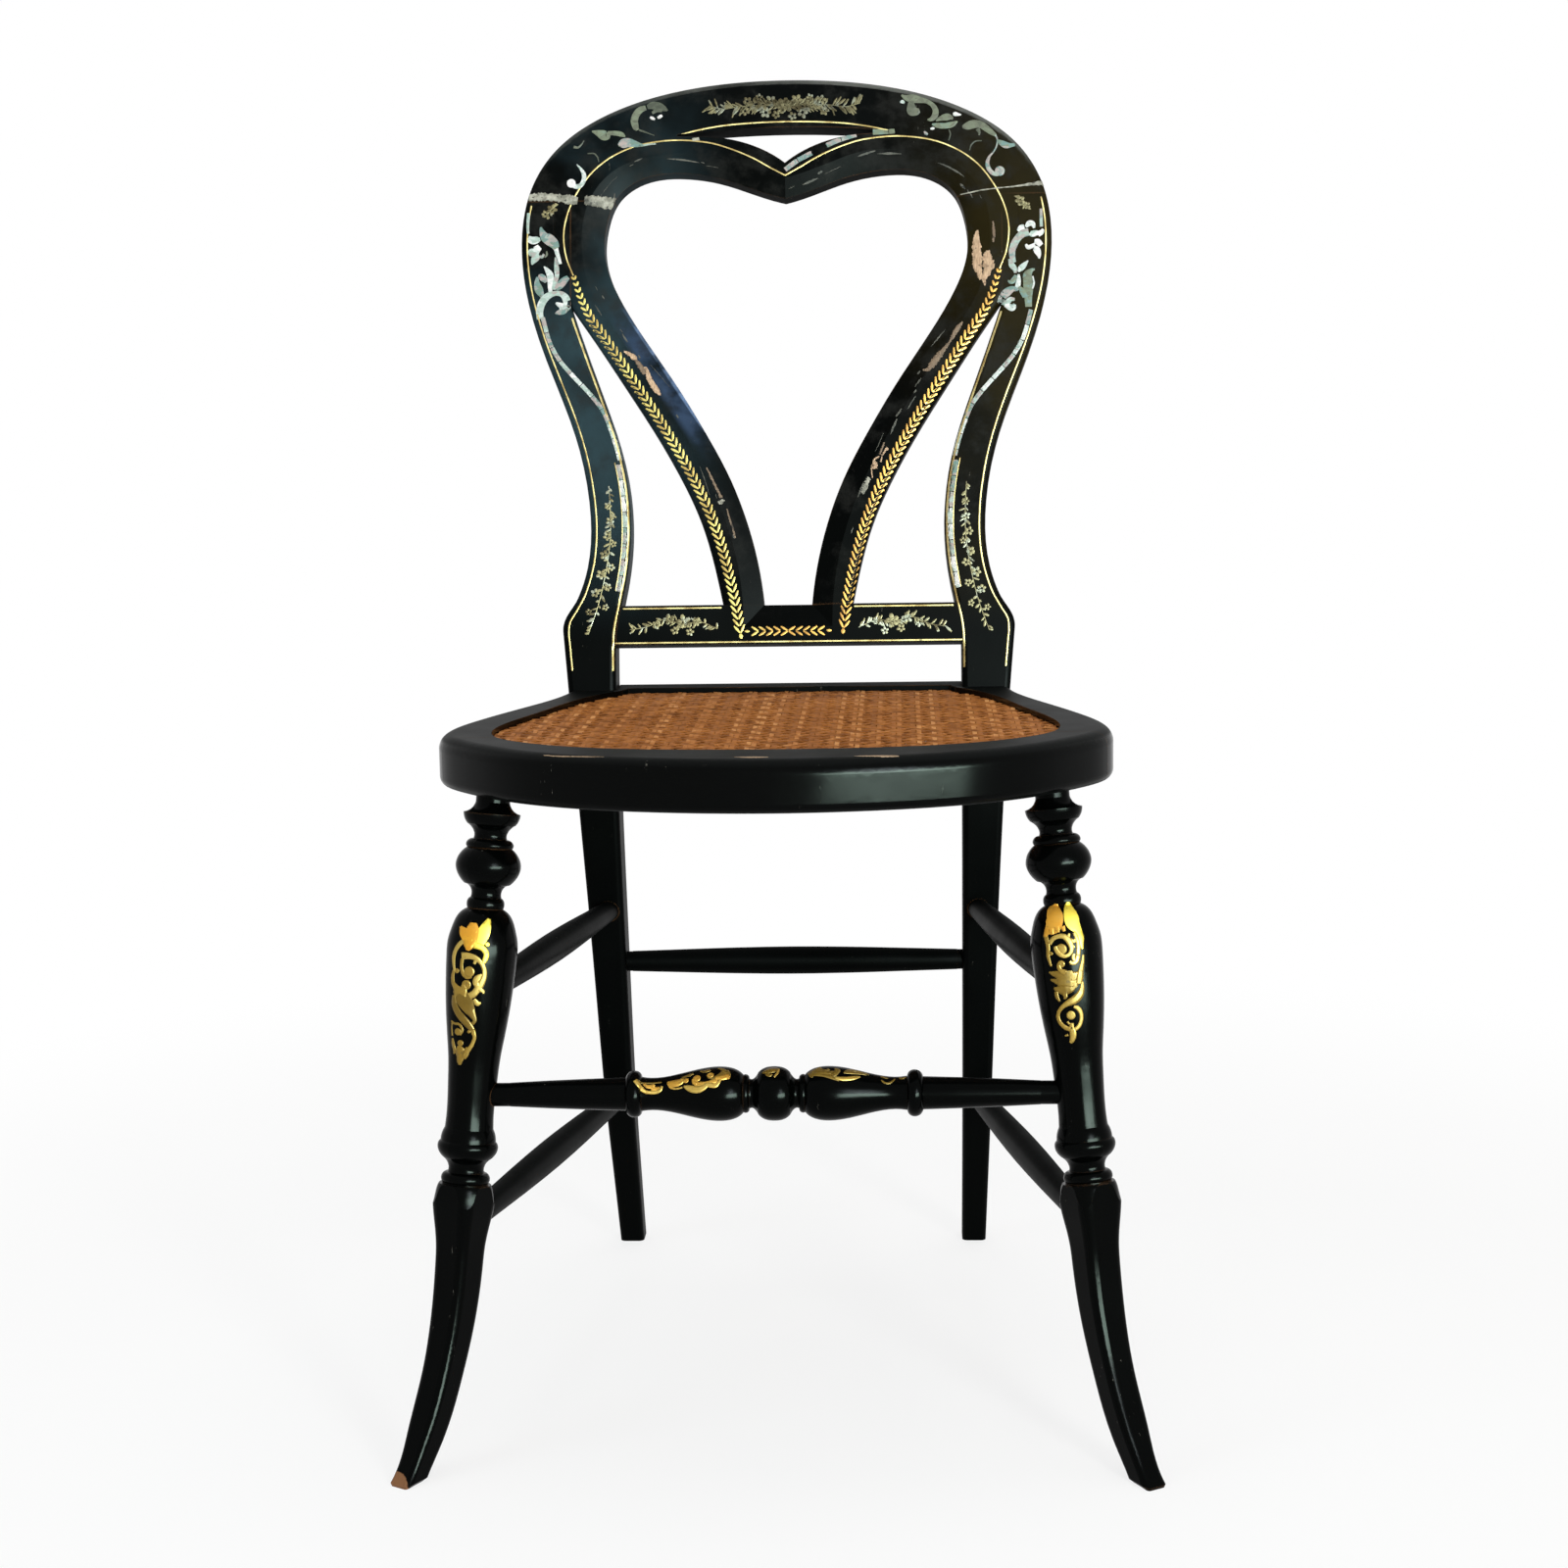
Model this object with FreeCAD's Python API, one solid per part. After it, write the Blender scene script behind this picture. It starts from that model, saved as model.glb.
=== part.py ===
import FreeCAD, Part
import math
import os

os.makedirs("parts", exist_ok=True)

Vector = FreeCAD.Vector

# Driving dimensions in millimetres. Heights are from the floor, depths run back from the seat front.
seat_height = 440.0
seat_thickness = 32.0
seat_half_width = 212.0
seat_side_depth = 358.0
seat_rear_edge = 393.0
rail_top_round = 9.0
rail_foot_round = 6.0
front_joint_depth = 114.0
ledge_width = 9.0
ledge_depth = 5.0
cane_thickness = 1.8
cane_gap = 0.6
cane_openings_across = 12
cane_open_share = 0.5
cane_least_share = 0.4

# The fretted back: a flat board that leans back, measured along its own face.
rake_angle = 12.0
back_length = 438.0
back_half_width = 189.5
board_thickness = 20.0
edge_round = 4.0
heart_edge_round = 5.0
heart_foot_share = 0.137
bevel_depth = 5.0
bevel_foot_drop = 16.0
seam_half_width = 154.0
shoulder_joint_share = 0.8037
cross_rail_height = 28.0
spandrel_half_width = 77.0

# The rear posts: stile and rear leg sawn from one plank.
post_depth_seat = 34.0
post_depth_ear = 30.0
post_depth_foot = 24.0
post_inner = 122.5
post_outer_ear = 160.2
post_outer_foot = 139.5
post_outer_seat = 156.5
post_outer_leg = 151.5
post_leg_drop = 80.0
post_ear_share = 0.096
post_sweep = 108.0
post_round = 4.0
sweep_start = 46.0

# The turned front legs.
leg_top_half_spacing = 170.5
leg_top_setback = 85.0
leg_foot_half_spacing = 223.0
leg_foot_setback = 1.0
leg_splay = 9.2
leg_radius = 21.6
leg_turned_share = 0.58824
ankle_share = 0.1201
leg_tenon_share = 0.486
leg_tenon_length = 24.0
sabre_reach_share = 1.176
sabre_turn = 34.0
sabre_half_side = 15.6
sabre_corner_share = 0.45
dome_radius = 19.4
toe_bevel = 2.0

# The stretchers.
front_stretcher_share = 0.51364
front_stretcher_radius = 16.6
rod_radius = 10.0
rod_end_radius = 7.2
stretcher_run = 20.0
upper_front_share = 0.65
upper_rear_share = 0.62955
lower_front_share = 0.32955
lower_rear_share = 0.29091
rear_stretcher_share = 0.53636
socket_floor = 4.0

# Joinery.
fit = 0.1
dowel_radius = 4.0
dowel_length = 24.0
dowel_end_gap = 0.5
shoulder_dowel_spread = 15.0
shoulder_dowel_depth = 11.5
splat_dowel_offset = 33.0
seat_dowel_offset = 180.0
seat_dowel_spacing = 14.0
tenon_thickness = 9.0
tenon_length = 12.0
tenon_shoulder = 5.0
side_tenon_offset = 143.0
rear_tenon_offset = 380.0
overrun = 60.0

leg_height = seat_height - seat_thickness
leg_turned_length = leg_turned_share * leg_height
ankle_length = ankle_share * leg_height
leg_straight_length = leg_turned_length + ankle_length
leg_tenon_radius = leg_tenon_share * leg_radius
# The sabre foot bends on as far as the floor, and a little past it.
sabre_drop = leg_height - leg_straight_length * math.cos(math.radians(leg_splay))
sabre_bend = math.sin(math.radians(leg_splay + sabre_turn)) - math.sin(math.radians(leg_splay))
sabre_radius = sabre_reach_share * sabre_drop / sabre_bend
front_stretcher_height = front_stretcher_share * seat_height
upper_front_height = upper_front_share * seat_height
upper_rear_height = upper_rear_share * seat_height
lower_front_height = lower_front_share * seat_height
lower_rear_height = lower_rear_share * seat_height
rear_stretcher_height = rear_stretcher_share * seat_height
heart_foot = heart_foot_share * back_length
shoulder_joint = shoulder_joint_share * back_length
cross_rail_bottom = heart_foot - cross_rail_height
post_ear_height = post_ear_share * back_length

# Shares of half the back's width and of its length, from the crown down to the ear.
outer_shares = (
    (0.0, 1.0), (0.412, 0.984), (0.689, 0.945), (0.879, 0.886), (0.964, 0.826), (1.0, 0.742),
    (0.982, 0.653), (0.902, 0.537), (0.800, 0.420), (0.745, 0.306), (0.743, 0.228), (0.790, 0.151),
)
# The stile's inner edge, from the point of the side opening down to the cross rail.
stile_inner_shares = (
    (0.805, 0.630), (0.770, 0.575), (0.707, 0.498), (0.644, 0.420), (0.602, 0.345),
    (0.587, 0.267), (0.601, 0.190), (0.630, 0.128), (0.6464, 0.073),
)
# The heart's outer edge below the shoulder, from the cross rail up to the same point.
heart_outer_shares = (
    (0.243, 0.137), (0.269, 0.190), (0.319, 0.267), (0.399, 0.345), (0.496, 0.420),
    (0.610, 0.498), (0.726, 0.575), (0.805, 0.630),
)
heart_runout_share = (0.90, 0.690)
stile_runout_share = (0.860, 0.700)
# The heart opening, from the dip between the lobes down to its narrow foot.
heart_inner_shares = (
    (0.0, 0.8045), (0.110, 0.819), (0.235, 0.838), (0.380, 0.849), (0.535, 0.842), (0.634, 0.812),
    (0.675, 0.769), (0.686, 0.731), (0.674, 0.692), (0.639, 0.653), (0.533, 0.575), (0.414, 0.498),
    (0.306, 0.420), (0.215, 0.345), (0.148, 0.267), (0.106, 0.190), (0.090, 0.137),
)
# The worn ridge that divides the heart's flat band from its inner slope.
heart_ridge_shares = (
    (0.0, 0.836), (0.150, 0.857), (0.327, 0.880), (0.475, 0.877), (0.617, 0.861), (0.702, 0.831),
    (0.755, 0.788), (0.770, 0.731), (0.760, 0.690), (0.723, 0.644), (0.617, 0.571), (0.496, 0.493),
    (0.385, 0.416), (0.290, 0.340), (0.222, 0.263), (0.182, 0.190), (0.166, 0.128),
)
# The finger gap over the heart: crown of its top edge, then its lower edge down to the notch.
spandrel_top_share = 0.920
spandrel_tip_share = 0.911
spandrel_lower_shares = ((1.0, 0.908), (0.75, 0.907), (0.52, 0.902), (0.234, 0.886), (0.0, 0.861))

# Shares of the seat's half width and of the side depth, from the front centre round to the post.
seat_outer_shares = (
    (0.0, 0.0), (0.283, 0.018), (0.519, 0.061), (0.731, 0.137), (0.896, 0.243), (0.981, 0.330),
    (1.0, 0.408), (0.952, 0.570), (0.872, 0.721), (0.788, 0.880), (0.752, 1.0),
)
seat_inner_shares = (
    (0.0, 0.134), (0.283, 0.143), (0.519, 0.176), (0.700, 0.240), (0.811, 0.318), (0.844, 0.402),
    (0.821, 0.528), (0.759, 0.668), (0.670, 0.866), (0.600, 0.955), (0.555, 1.0), (0.540, 1.034),
)

# Shares of the seat height and of the post's sweep, down the front of the rear leg.
sweep_shares = ((0.95, -0.02), (0.62, 0.16), (0.30, 0.47), (0.0, 1.0))
sweep_foot_share = 0.42
sweep_depth_shares = (0.0, 0.1, 0.5, 1.0)

# Turnings: each row is one smooth sweep of the chisel, as shares of the length and of the radius.
leg_turning_shares = (
    ((0.018, 0.486), (0.033, 0.560), (0.046, 0.810)),
    ((0.046, 0.810), (0.060, 0.780), (0.074, 0.690)),
    ((0.074, 0.690), (0.089, 0.510), (0.103, 0.458), (0.112, 0.480)),
    ((0.112, 0.480), (0.116, 0.610), (0.125, 0.676), (0.135, 0.640)),
    ((0.135, 0.640), (0.150, 0.810), (0.180, 0.926), (0.208, 0.830), (0.227, 0.650)),
    ((0.227, 0.650), (0.240, 0.450), (0.250, 0.421), (0.262, 0.440)),
    ((0.262, 0.440), (0.268, 0.510), (0.278, 0.537), (0.290, 0.510)),
    ((0.290, 0.510), (0.310, 0.764), (0.341, 0.903), (0.371, 0.986), (0.416, 1.0), (0.551, 0.903),
     (0.612, 0.824), (0.672, 0.741), (0.732, 0.699), (0.822, 0.671), (0.853, 0.690)),
    ((0.853, 0.690), (0.872, 0.770), (0.886, 0.785)),
    ((0.886, 0.785), (0.894, 0.850), (0.904, 0.857), (0.916, 0.810), (0.928, 0.700)),
    ((0.928, 0.700), (0.942, 0.550), (0.958, 0.500), (0.966, 0.520)),
    ((0.966, 0.520), (0.971, 0.650), (0.981, 0.694), (0.993, 0.650)),
    ((0.993, 0.650), (1.0, 0.650)),
)
# The rounded shoulder turned on the sabre's square, as shares of the ankle's length and dome radius.
dome_shares = ((-0.05, 0.600), (-0.03, 0.800), (0.073, 0.900), (0.22, 0.960), (0.44, 1.150), (0.88, 1.400))
# Sabre sections: share of the ankle's length for the first rows, then share of the turn.
sabre_straight_shares = ((-0.02, 1.0), (0.245, 0.985), (0.53, 0.870), (0.76, 0.790), (1.0, 0.765))
sabre_curved_shares = ((0.20, 0.715), (0.42, 0.650), (0.64, 0.590), (0.85, 0.530), (1.0, 0.500))

front_stretcher_knop_shares = (
    (-0.060, 0.780), (-0.035, 0.950), (0.0, 1.0), (0.035, 0.950), (0.060, 0.780),
)
front_stretcher_shares = (
    ((0.060, 0.780), (0.072, 0.600), (0.084, 0.530), (0.094, 0.560)),
    ((0.094, 0.560), (0.099, 0.680), (0.107, 0.710), (0.116, 0.690)),
    ((0.116, 0.690), (0.130, 0.820), (0.160, 0.950), (0.200, 1.0), (0.340, 0.780), (0.500, 0.630)),
    ((0.500, 0.630), (0.512, 0.820), (0.530, 0.861), (0.548, 0.800), (0.560, 0.610)),
    ((0.560, 0.610), (0.780, 0.540), (1.0, 0.440)),
)
rod_shares = (((0.0, 0.740), (0.15, 0.840), (0.5, 1.0), (0.85, 0.840), (1.0, 0.740)),)


def point_pair(shares, width, height):
    return [Vector(across * width, 0, up * height) for across, up in shares]


def mirrored(points):
    return [Vector(-p.x, p.y, p.z) for p in points]


def curve(points, start=None, end=None):
    line = Part.BSplineCurve()
    if start is None:
        line.interpolate(Points=points)
    else:
        line.interpolate(Points=points, InitialTangent=start, FinalTangent=end)
    return line.toShape()


def line(start, end):
    return Part.makeLine(start, end)


def face_of(edges):
    return Part.Face(Part.Wire(Part.__sortEdges__(edges)))


def cuboid(low, high):
    size = high - low
    return Part.makeBox(size.x, size.y, size.z, low)


def flip(shape):
    return shape.mirror(Vector(0, 0, 0), Vector(1, 0, 0))


def round_edges(solid, radius, wanted):
    chosen = [edge for edge in solid.Edges if wanted(edge)]
    return solid.makeFillet(radius, chosen)


def ends_of(edge):
    return edge.Vertexes[0].Point, edge.Vertexes[-1].Point


def middle_of(edge):
    return edge.valueAt((edge.FirstParameter + edge.LastParameter) / 2)


def lean(shape):
    # From the board's own frame, front face on Y=0, to its place on the seat.
    placed = shape.copy()
    placed.rotate(Vector(0, 0, 0), Vector(1, 0, 0), -rake_angle)
    placed.translate(Vector(0, seat_side_depth, seat_height))
    return placed


def slab(face, depth):
    return face.extrude(Vector(0, depth, 0))


def rod_between(shape, start, end):
    # Puts a shape built up the Z axis along the line from start to end.
    placed = shape.copy()
    turn = FreeCAD.Rotation(Vector(0, 0, 1), end - start)
    placed.Placement = FreeCAD.Placement(start, turn)
    return placed


def turned(rows, length, radius):
    # Spins a profile about Z; each row of shares is one smooth curve.
    edges = []
    for row in rows:
        points = [Vector(out * radius, 0, along * length) for along, out in row]
        if len(points) == 2:
            edges.append(line(points[0], points[1]))
        else:
            edges.append(curve(points))
    first = Vector(rows[0][0][1] * radius, 0, rows[0][0][0] * length)
    last = Vector(rows[-1][-1][1] * radius, 0, rows[-1][-1][0] * length)
    foot = Vector(0, 0, first.z)
    tip = Vector(0, 0, last.z)
    if first.x > fit:
        edges.append(line(foot, first))
    edges.append(line(last, tip))
    edges.append(line(tip, foot))
    return face_of(edges).revolve(Vector(0, 0, 0), Vector(0, 0, 1), 360)


def board_outline():
    # The balloon outline of the whole back, running on down the rear legs.
    half = point_pair(outer_shares, back_half_width, back_length)
    ear = Vector(post_outer_ear, 0, post_ear_height)
    hip = Vector(post_outer_seat, 0, 0)
    thigh = Vector(post_outer_leg, 0, -post_leg_drop)
    foot = Vector(post_outer_foot, 0, -seat_height)
    below = foot + (foot - thigh) * (overrun / seat_height)
    crown = curve(mirrored(half[::-1]) + half[1:])
    flare = curve([half[-1], ear], crown.tangentAt(crown.LastParameter), hip - ear)
    leg = curve([ear, hip, thigh, foot, below], hip - ear, below - foot)
    edges = [crown, flare, leg, line(below, mirrored([below])[0]), flip(leg), flip(flare)]
    return face_of(edges)


def stile_inner_edge():
    points = point_pair(stile_inner_shares, back_half_width, back_length)
    points[0].x = seam_half_width
    points[-1] = Vector(post_inner, 0, cross_rail_bottom)
    return points, curve(points, points[1] - points[0], Vector(0, 0, -1))


def side_opening():
    inner, inner_edge = stile_inner_edge()
    outer = point_pair(heart_outer_shares, back_half_width, back_length)
    outer[-1] = inner[0]
    low = Vector(outer[0].x, 0, cross_rail_bottom)
    face = face_of([inner_edge, curve(outer), line(outer[0], low), line(low, inner[-1])])
    opening = slab(face, board_thickness)
    return opening.common(band(heart_foot, back_length, back_half_width))


def heart_wire(shares, foot, inset):
    half = point_pair(shares, back_half_width, back_length)
    half[-1] = Vector(half[-1].x, 0, foot)
    right = curve(half)
    edges = [right, line(half[-1], mirrored(half)[-1]), flip(right)]
    wire = Part.Wire(Part.__sortEdges__(edges))
    wire.translate(Vector(0, inset, 0))
    return wire


def spandrel():
    lower = point_pair(spandrel_lower_shares, spandrel_half_width, back_length)
    tip = Vector(spandrel_half_width, 0, spandrel_tip_share * back_length)
    top = Vector(0, 0, spandrel_top_share * back_length)
    arch = Part.Arc(mirrored([tip])[0], top, tip).toShape()
    sweep = curve(lower)
    edges = [arch, sweep, flip(sweep), line(tip, lower[0])]
    edges.append(line(mirrored([tip])[0], mirrored(lower)[0]))
    return slab(face_of(edges), board_thickness)


def band(low, high, half_width):
    return cuboid(Vector(-half_width, -overrun, low), Vector(half_width, overrun, high))


def fretted_board():
    # One flat board with all its openings; the joints divide it afterwards.
    board = slab(board_outline(), board_thickness)
    opening = side_opening()
    heart = heart_wire(heart_inner_shares, heart_foot, 0)
    board = board.cut([opening, flip(opening), slab(Part.Face(heart), board_thickness), spandrel()])
    ridge = heart_wire(heart_ridge_shares, heart_foot - bevel_foot_drop, 0)
    slope = heart_wire(heart_inner_shares, heart_foot, bevel_depth)
    return board.cut(Part.makeLoft([ridge, slope], True, True))


def on_faces(edge, depth):
    # True for an edge that lies on the board's front or rear face.
    first, last = ends_of(edge)
    flat = abs(first.y - last.y) < fit
    return flat and (abs(first.y) < fit or abs(first.y - depth) < fit)


def crest_rail(board):
    crest = board.common(band(shoulder_joint, back_length + overrun, back_half_width + overrun))

    def crown(edge):
        return on_faces(edge, board_thickness) and edge.Length > back_half_width and not level(edge)
    return round_edges(crest, edge_round, crown)


def level(edge):
    middle = middle_of(edge)
    first, last = ends_of(edge)
    return abs(middle.z - first.z) < fit and abs(middle.z - last.z) < fit


def heart_cutter():
    heart = heart_wire(heart_inner_shares, heart_foot, 0)
    ridge = heart_wire(heart_ridge_shares, heart_foot - bevel_foot_drop, 0)
    slope = heart_wire(heart_inner_shares, heart_foot, bevel_depth)
    return [slab(Part.Face(heart), board_thickness), Part.makeLoft([ridge, slope], True, True)]


def heart_splat():
    # One side of the heart, from the cross rail up to the shoulder joint.
    outer = point_pair(heart_outer_shares, back_half_width, back_length)
    outer[-1].x = seam_half_width
    outer.append(point_pair((heart_runout_share,), back_half_width, back_length)[0])
    corner = Vector(outer[-1].x, 0, shoulder_joint)
    centre_top = Vector(0, 0, shoulder_joint)
    centre_foot = Vector(0, 0, heart_foot)
    edges = [curve(outer), line(outer[-1], corner), line(corner, centre_top)]
    edges += [line(centre_top, centre_foot), line(centre_foot, outer[0])]
    blank = slab(face_of(edges), board_thickness)

    def outside(edge):
        first, last = ends_of(edge)
        long = abs(first.z - last.z) > heart_foot and abs(first.x - last.x) > heart_foot
        return on_faces(edge, board_thickness) and long
    blank = round_edges(blank, heart_edge_round, outside).cut(heart_cutter())
    right = cuboid(Vector(0, -overrun, heart_foot), Vector(seam_half_width, overrun, shoulder_joint))
    return blank.common(right)


def on_board(depth, up):
    # A point in the side view, given by its depth behind the board's front face.
    rake = math.radians(rake_angle)
    back = seat_side_depth + up * math.sin(rake) + depth * math.cos(rake)
    return Vector(0, back, seat_height + up * math.cos(rake) - depth * math.sin(rake))


def post_profile():
    # Side view of a rear post: straight raked stile, then the leg sweeping back to the floor.
    front = [on_board(0, sweep_start)]
    rear = [on_board(post_depth_ear, sweep_start)]
    for (up, back), thinning in zip(sweep_shares, sweep_depth_shares):
        depth = post_depth_seat + thinning * (post_depth_foot - post_depth_seat)
        place = Vector(0, seat_side_depth + back * post_sweep, up * seat_height)
        front.append(place)
        rear.append(place + Vector(0, depth, 0))
    front_top = on_board(0, shoulder_joint)
    rear_top = on_board(board_thickness, shoulder_joint)
    foot_slope = Vector(0, sweep_foot_share, -1)
    edges = [line(front_top, front[0]), curve(front, front[0] - front_top, foot_slope)]
    edges += [line(front[-1], rear[-1]), curve(rear, rear[0] - rear_top, foot_slope)]
    edges += [line(rear[0], rear_top), line(rear_top, front_top)]
    return face_of(edges)


def post_inside():
    # Everything inside the right post, back to the middle of the chair, as one deep prism.
    points, edge = stile_inner_edge()
    runout = point_pair((stile_runout_share,), back_half_width, back_length)[0]
    whole = curve([runout] + points, points[0] - runout, Vector(0, 0, -1))
    foot = Vector(post_inner, 0, -seat_height - overrun)
    top = Vector(runout.x, 0, shoulder_joint + overrun)
    middle_foot = Vector(0, 0, foot.z)
    middle_top = Vector(0, 0, top.z)
    edges = [line(top, runout), whole, line(points[-1], foot), line(foot, middle_foot)]
    edges += [line(middle_foot, middle_top), line(middle_top, top)]
    face = face_of(edges)
    face.translate(Vector(0, -overrun, 0))
    return slab(face, seat_height)


def back_post():
    # Right-hand post, sawn to its side view and then to its front view.
    side = post_profile().extrude(Vector(back_half_width + overrun, 0, 0))
    outline = board_outline()
    outline.translate(Vector(0, -overrun, 0))
    front = lean(slab(outline, seat_height))
    post = side.common(front).cut(lean(post_inside()))

    def lengthwise(edge):
        first, last = ends_of(edge)
        return abs(first.z - last.z) > post_depth_seat / 4
    post = round_edges(post, post_round, lengthwise)
    tip = stile_inner_shares[0][1] * back_length
    low = Vector(seam_half_width, 0, tip)
    filler = cuboid(low, Vector(seam_half_width + post_depth_foot / 2, board_thickness, shoulder_joint))
    pad_low = Vector(post_inner - post_depth_foot / 2, 0, cross_rail_bottom)
    pad_high = Vector(post_inner + post_depth_foot / 2, board_thickness, heart_foot)
    pad = cuboid(pad_low, pad_high).cut(post_inside())
    return post.fuse([lean(filler), lean(pad)]).removeSplitter()


def cross_rail():
    # The low rail between the stiles, with a tenon at each end.
    low = Vector(0, 0, cross_rail_bottom)
    half = cuboid(low, Vector(back_half_width, board_thickness, heart_foot)).common(post_inside())
    rail = half.fuse([flip(half), cross_rail_tenons(0)]).removeSplitter()
    return rail.cut(heart_cutter())


def cross_rail_tenons(slack):
    reach = post_inner + tenon_length + slack
    front = (board_thickness - tenon_thickness) / 2 - slack
    low = Vector(-reach, front, cross_rail_bottom + tenon_shoulder - slack)
    high = Vector(reach, board_thickness - front, heart_foot - tenon_shoulder + slack)
    return cuboid(low, high)


def dowel(place, direction, slack):
    # A dowel centred on a joint face; slack turns it into its hole.
    radius = dowel_radius + slack
    half = dowel_length / 2 + (dowel_end_gap if slack else 0)
    start = place - direction * half
    return Part.makeCylinder(radius, half * 2, start, direction)


def shoulder_dowels(slack):
    up = Vector(0, 0, 1)
    pegs = []
    for across in (seam_half_width - shoulder_dowel_spread, seam_half_width + shoulder_dowel_spread):
        peg = lean(dowel(Vector(across, shoulder_dowel_depth, shoulder_joint), up, slack))
        pegs += [peg, flip(peg)]
    return pegs


def splat_dowels(slack):
    place = Vector(splat_dowel_offset, shoulder_dowel_depth, heart_foot)
    peg = lean(dowel(place, Vector(0, 0, 1), slack))
    return [peg, flip(peg)]


def seat_dowels(slack):
    pegs = []
    level_height = seat_height - seat_thickness / 2
    for across in (seat_dowel_offset, seat_dowel_offset + seat_dowel_spacing):
        place = Vector(across, front_joint_depth, level_height)
        peg = dowel(place, Vector(0, 1, 0), slack)
        pegs += [peg, flip(peg)]
    return pegs


def plan_pair(shares):
    half = [Vector(across * seat_half_width, back * seat_side_depth, 0) for across, back in shares]
    return mirrored(half[::-1]) + half[1:]


def seat_plan():
    points = plan_pair(seat_outer_shares)
    post_front = [Vector(side * post_inner, seat_side_depth, 0) for side in (1, -1)]
    post_rear = [Vector(side * post_inner, seat_rear_edge, 0) for side in (1, -1)]
    edges = [curve(points), line(points[-1], post_front[0]), line(post_front[0], post_rear[0])]
    edges += [line(post_rear[0], post_rear[1]), line(post_rear[1], post_front[1])]
    edges.append(line(post_front[1], points[0]))
    return face_of(edges)


def cane_block(inset, low, high):
    # The caned area as a prism, drawn in from the edge of the ledge by an even inset.
    points = plan_pair(seat_inner_shares)
    rim = curve(points)
    drawn = []
    for point in points:
        way = rim.tangentAt(rim.Curve.parameter(point))
        drawn.append(point + Vector(-way.y, way.x, 0) * inset)
    face = face_of([curve(drawn), line(drawn[-1], drawn[0])])
    block = raised(face, low, high)
    rear = points[0].y - inset
    span = seat_half_width
    return block.common(cuboid(Vector(-span, 0, low), Vector(span, rear, high)))


def raised(face, low, high):
    placed = face.copy()
    placed.translate(Vector(0, 0, low))
    return placed.extrude(Vector(0, 0, high - low))


def seat_frame():
    # The whole caned frame with its ledge, before the joints divide it.
    underside = seat_height - seat_thickness
    frame = raised(seat_plan(), underside, seat_height)

    def outer_top(edge):
        return edge.Length > seat_rear_edge and middle_of(edge).z > seat_height - fit

    def outer_foot(edge):
        return edge.Length > seat_rear_edge and middle_of(edge).z < underside + fit
    frame = round_edges(frame, rail_top_round, outer_top)
    frame = round_edges(frame, rail_foot_round, outer_foot)
    ledge = cane_block(0, seat_height - ledge_depth, seat_height + overrun)
    hole = cane_block(ledge_width, underside - overrun, seat_height + overrun)
    return frame.cut([ledge, hole])


def cane_openings(clear):
    # The square meshes between the strands, trimmed where they meet the edge of the clear area.
    room = clear.BoundBox
    pitch = room.XLength / cane_openings_across
    rows = int(room.YLength / pitch)
    half = Vector(pitch, pitch, 0) * (cane_open_share / 2)
    first = room.Center - Vector(cane_openings_across - 1, rows - 1, 0) * (pitch / 2)
    meshes = []
    for column in range(cane_openings_across):
        for row in range(rows):
            middle = first + Vector(column, row, 0) * pitch
            low = Vector(middle.x - half.x, middle.y - half.y, room.ZMin)
            high = Vector(middle.x + half.x, middle.y + half.y, room.ZMax)
            whole = cuboid(low, high)
            mesh = whole.common(clear)
            if mesh.Volume > cane_least_share * whole.Volume:
                meshes.append(mesh)
    return meshes


def cane_panel():
    floor = seat_height - ledge_depth
    top = floor + cane_thickness
    clear = cane_block(ledge_width, floor - ledge_depth, top + ledge_depth)
    return cane_block(cane_gap, floor, top).cut(cane_openings(clear))


def side_tenon(slack):
    half = tenon_thickness / 2 + slack
    low_height = seat_height - seat_thickness + tenon_shoulder - slack
    low = Vector(side_tenon_offset - half, seat_side_depth - tenon_length, low_height)
    high_height = seat_height - rail_top_round + slack
    return cuboid(low, Vector(side_tenon_offset + half, seat_side_depth + tenon_length + slack, high_height))


def rear_tenons(slack):
    half = tenon_thickness / 2 + slack
    reach = post_inner + tenon_length - tenon_shoulder + slack
    low = Vector(-reach, rear_tenon_offset - half, seat_height - seat_thickness + tenon_shoulder - slack)
    high_height = seat_height - rail_top_round + slack
    return cuboid(low, Vector(reach, rear_tenon_offset + half, high_height))


def leg_axis():
    # Foot direction in plan, and the direction down the turned part of the right leg.
    plan = Vector(leg_foot_half_spacing - leg_top_half_spacing, leg_foot_setback - leg_top_setback, 0)
    plan.normalize()
    splay = math.radians(leg_splay)
    down = plan * math.sin(splay) - Vector(0, 0, math.cos(splay))
    out = plan * math.cos(splay) + Vector(0, 0, math.sin(splay))
    return down, out


def leg_top():
    return Vector(leg_top_half_spacing, leg_top_setback, seat_height - seat_thickness)


def leg_point(height):
    down, out = leg_axis()
    return leg_top() + down * ((height - leg_top().z) / down.z)


def soft_square(centre, across, along, half):
    # A square section with well rounded corners.
    corner = half * sabre_corner_share
    flat = half - corner
    arc = corner * (1 - math.sqrt(0.5))
    rows = []
    for turn in range(4):
        one, two = ((across, along), (along, -across), (-across, -along), (-along, across))[turn]
        start = centre + one * half - two * flat
        end = centre + one * half + two * flat
        tip = centre + one * (half - arc) + two * (half - arc)
        after = centre + two * half + one * flat
        rows.append(line(start, end))
        rows.append(Part.Arc(end, tip, after).toShape())
    return Part.Wire(Part.__sortEdges__(rows))


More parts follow.
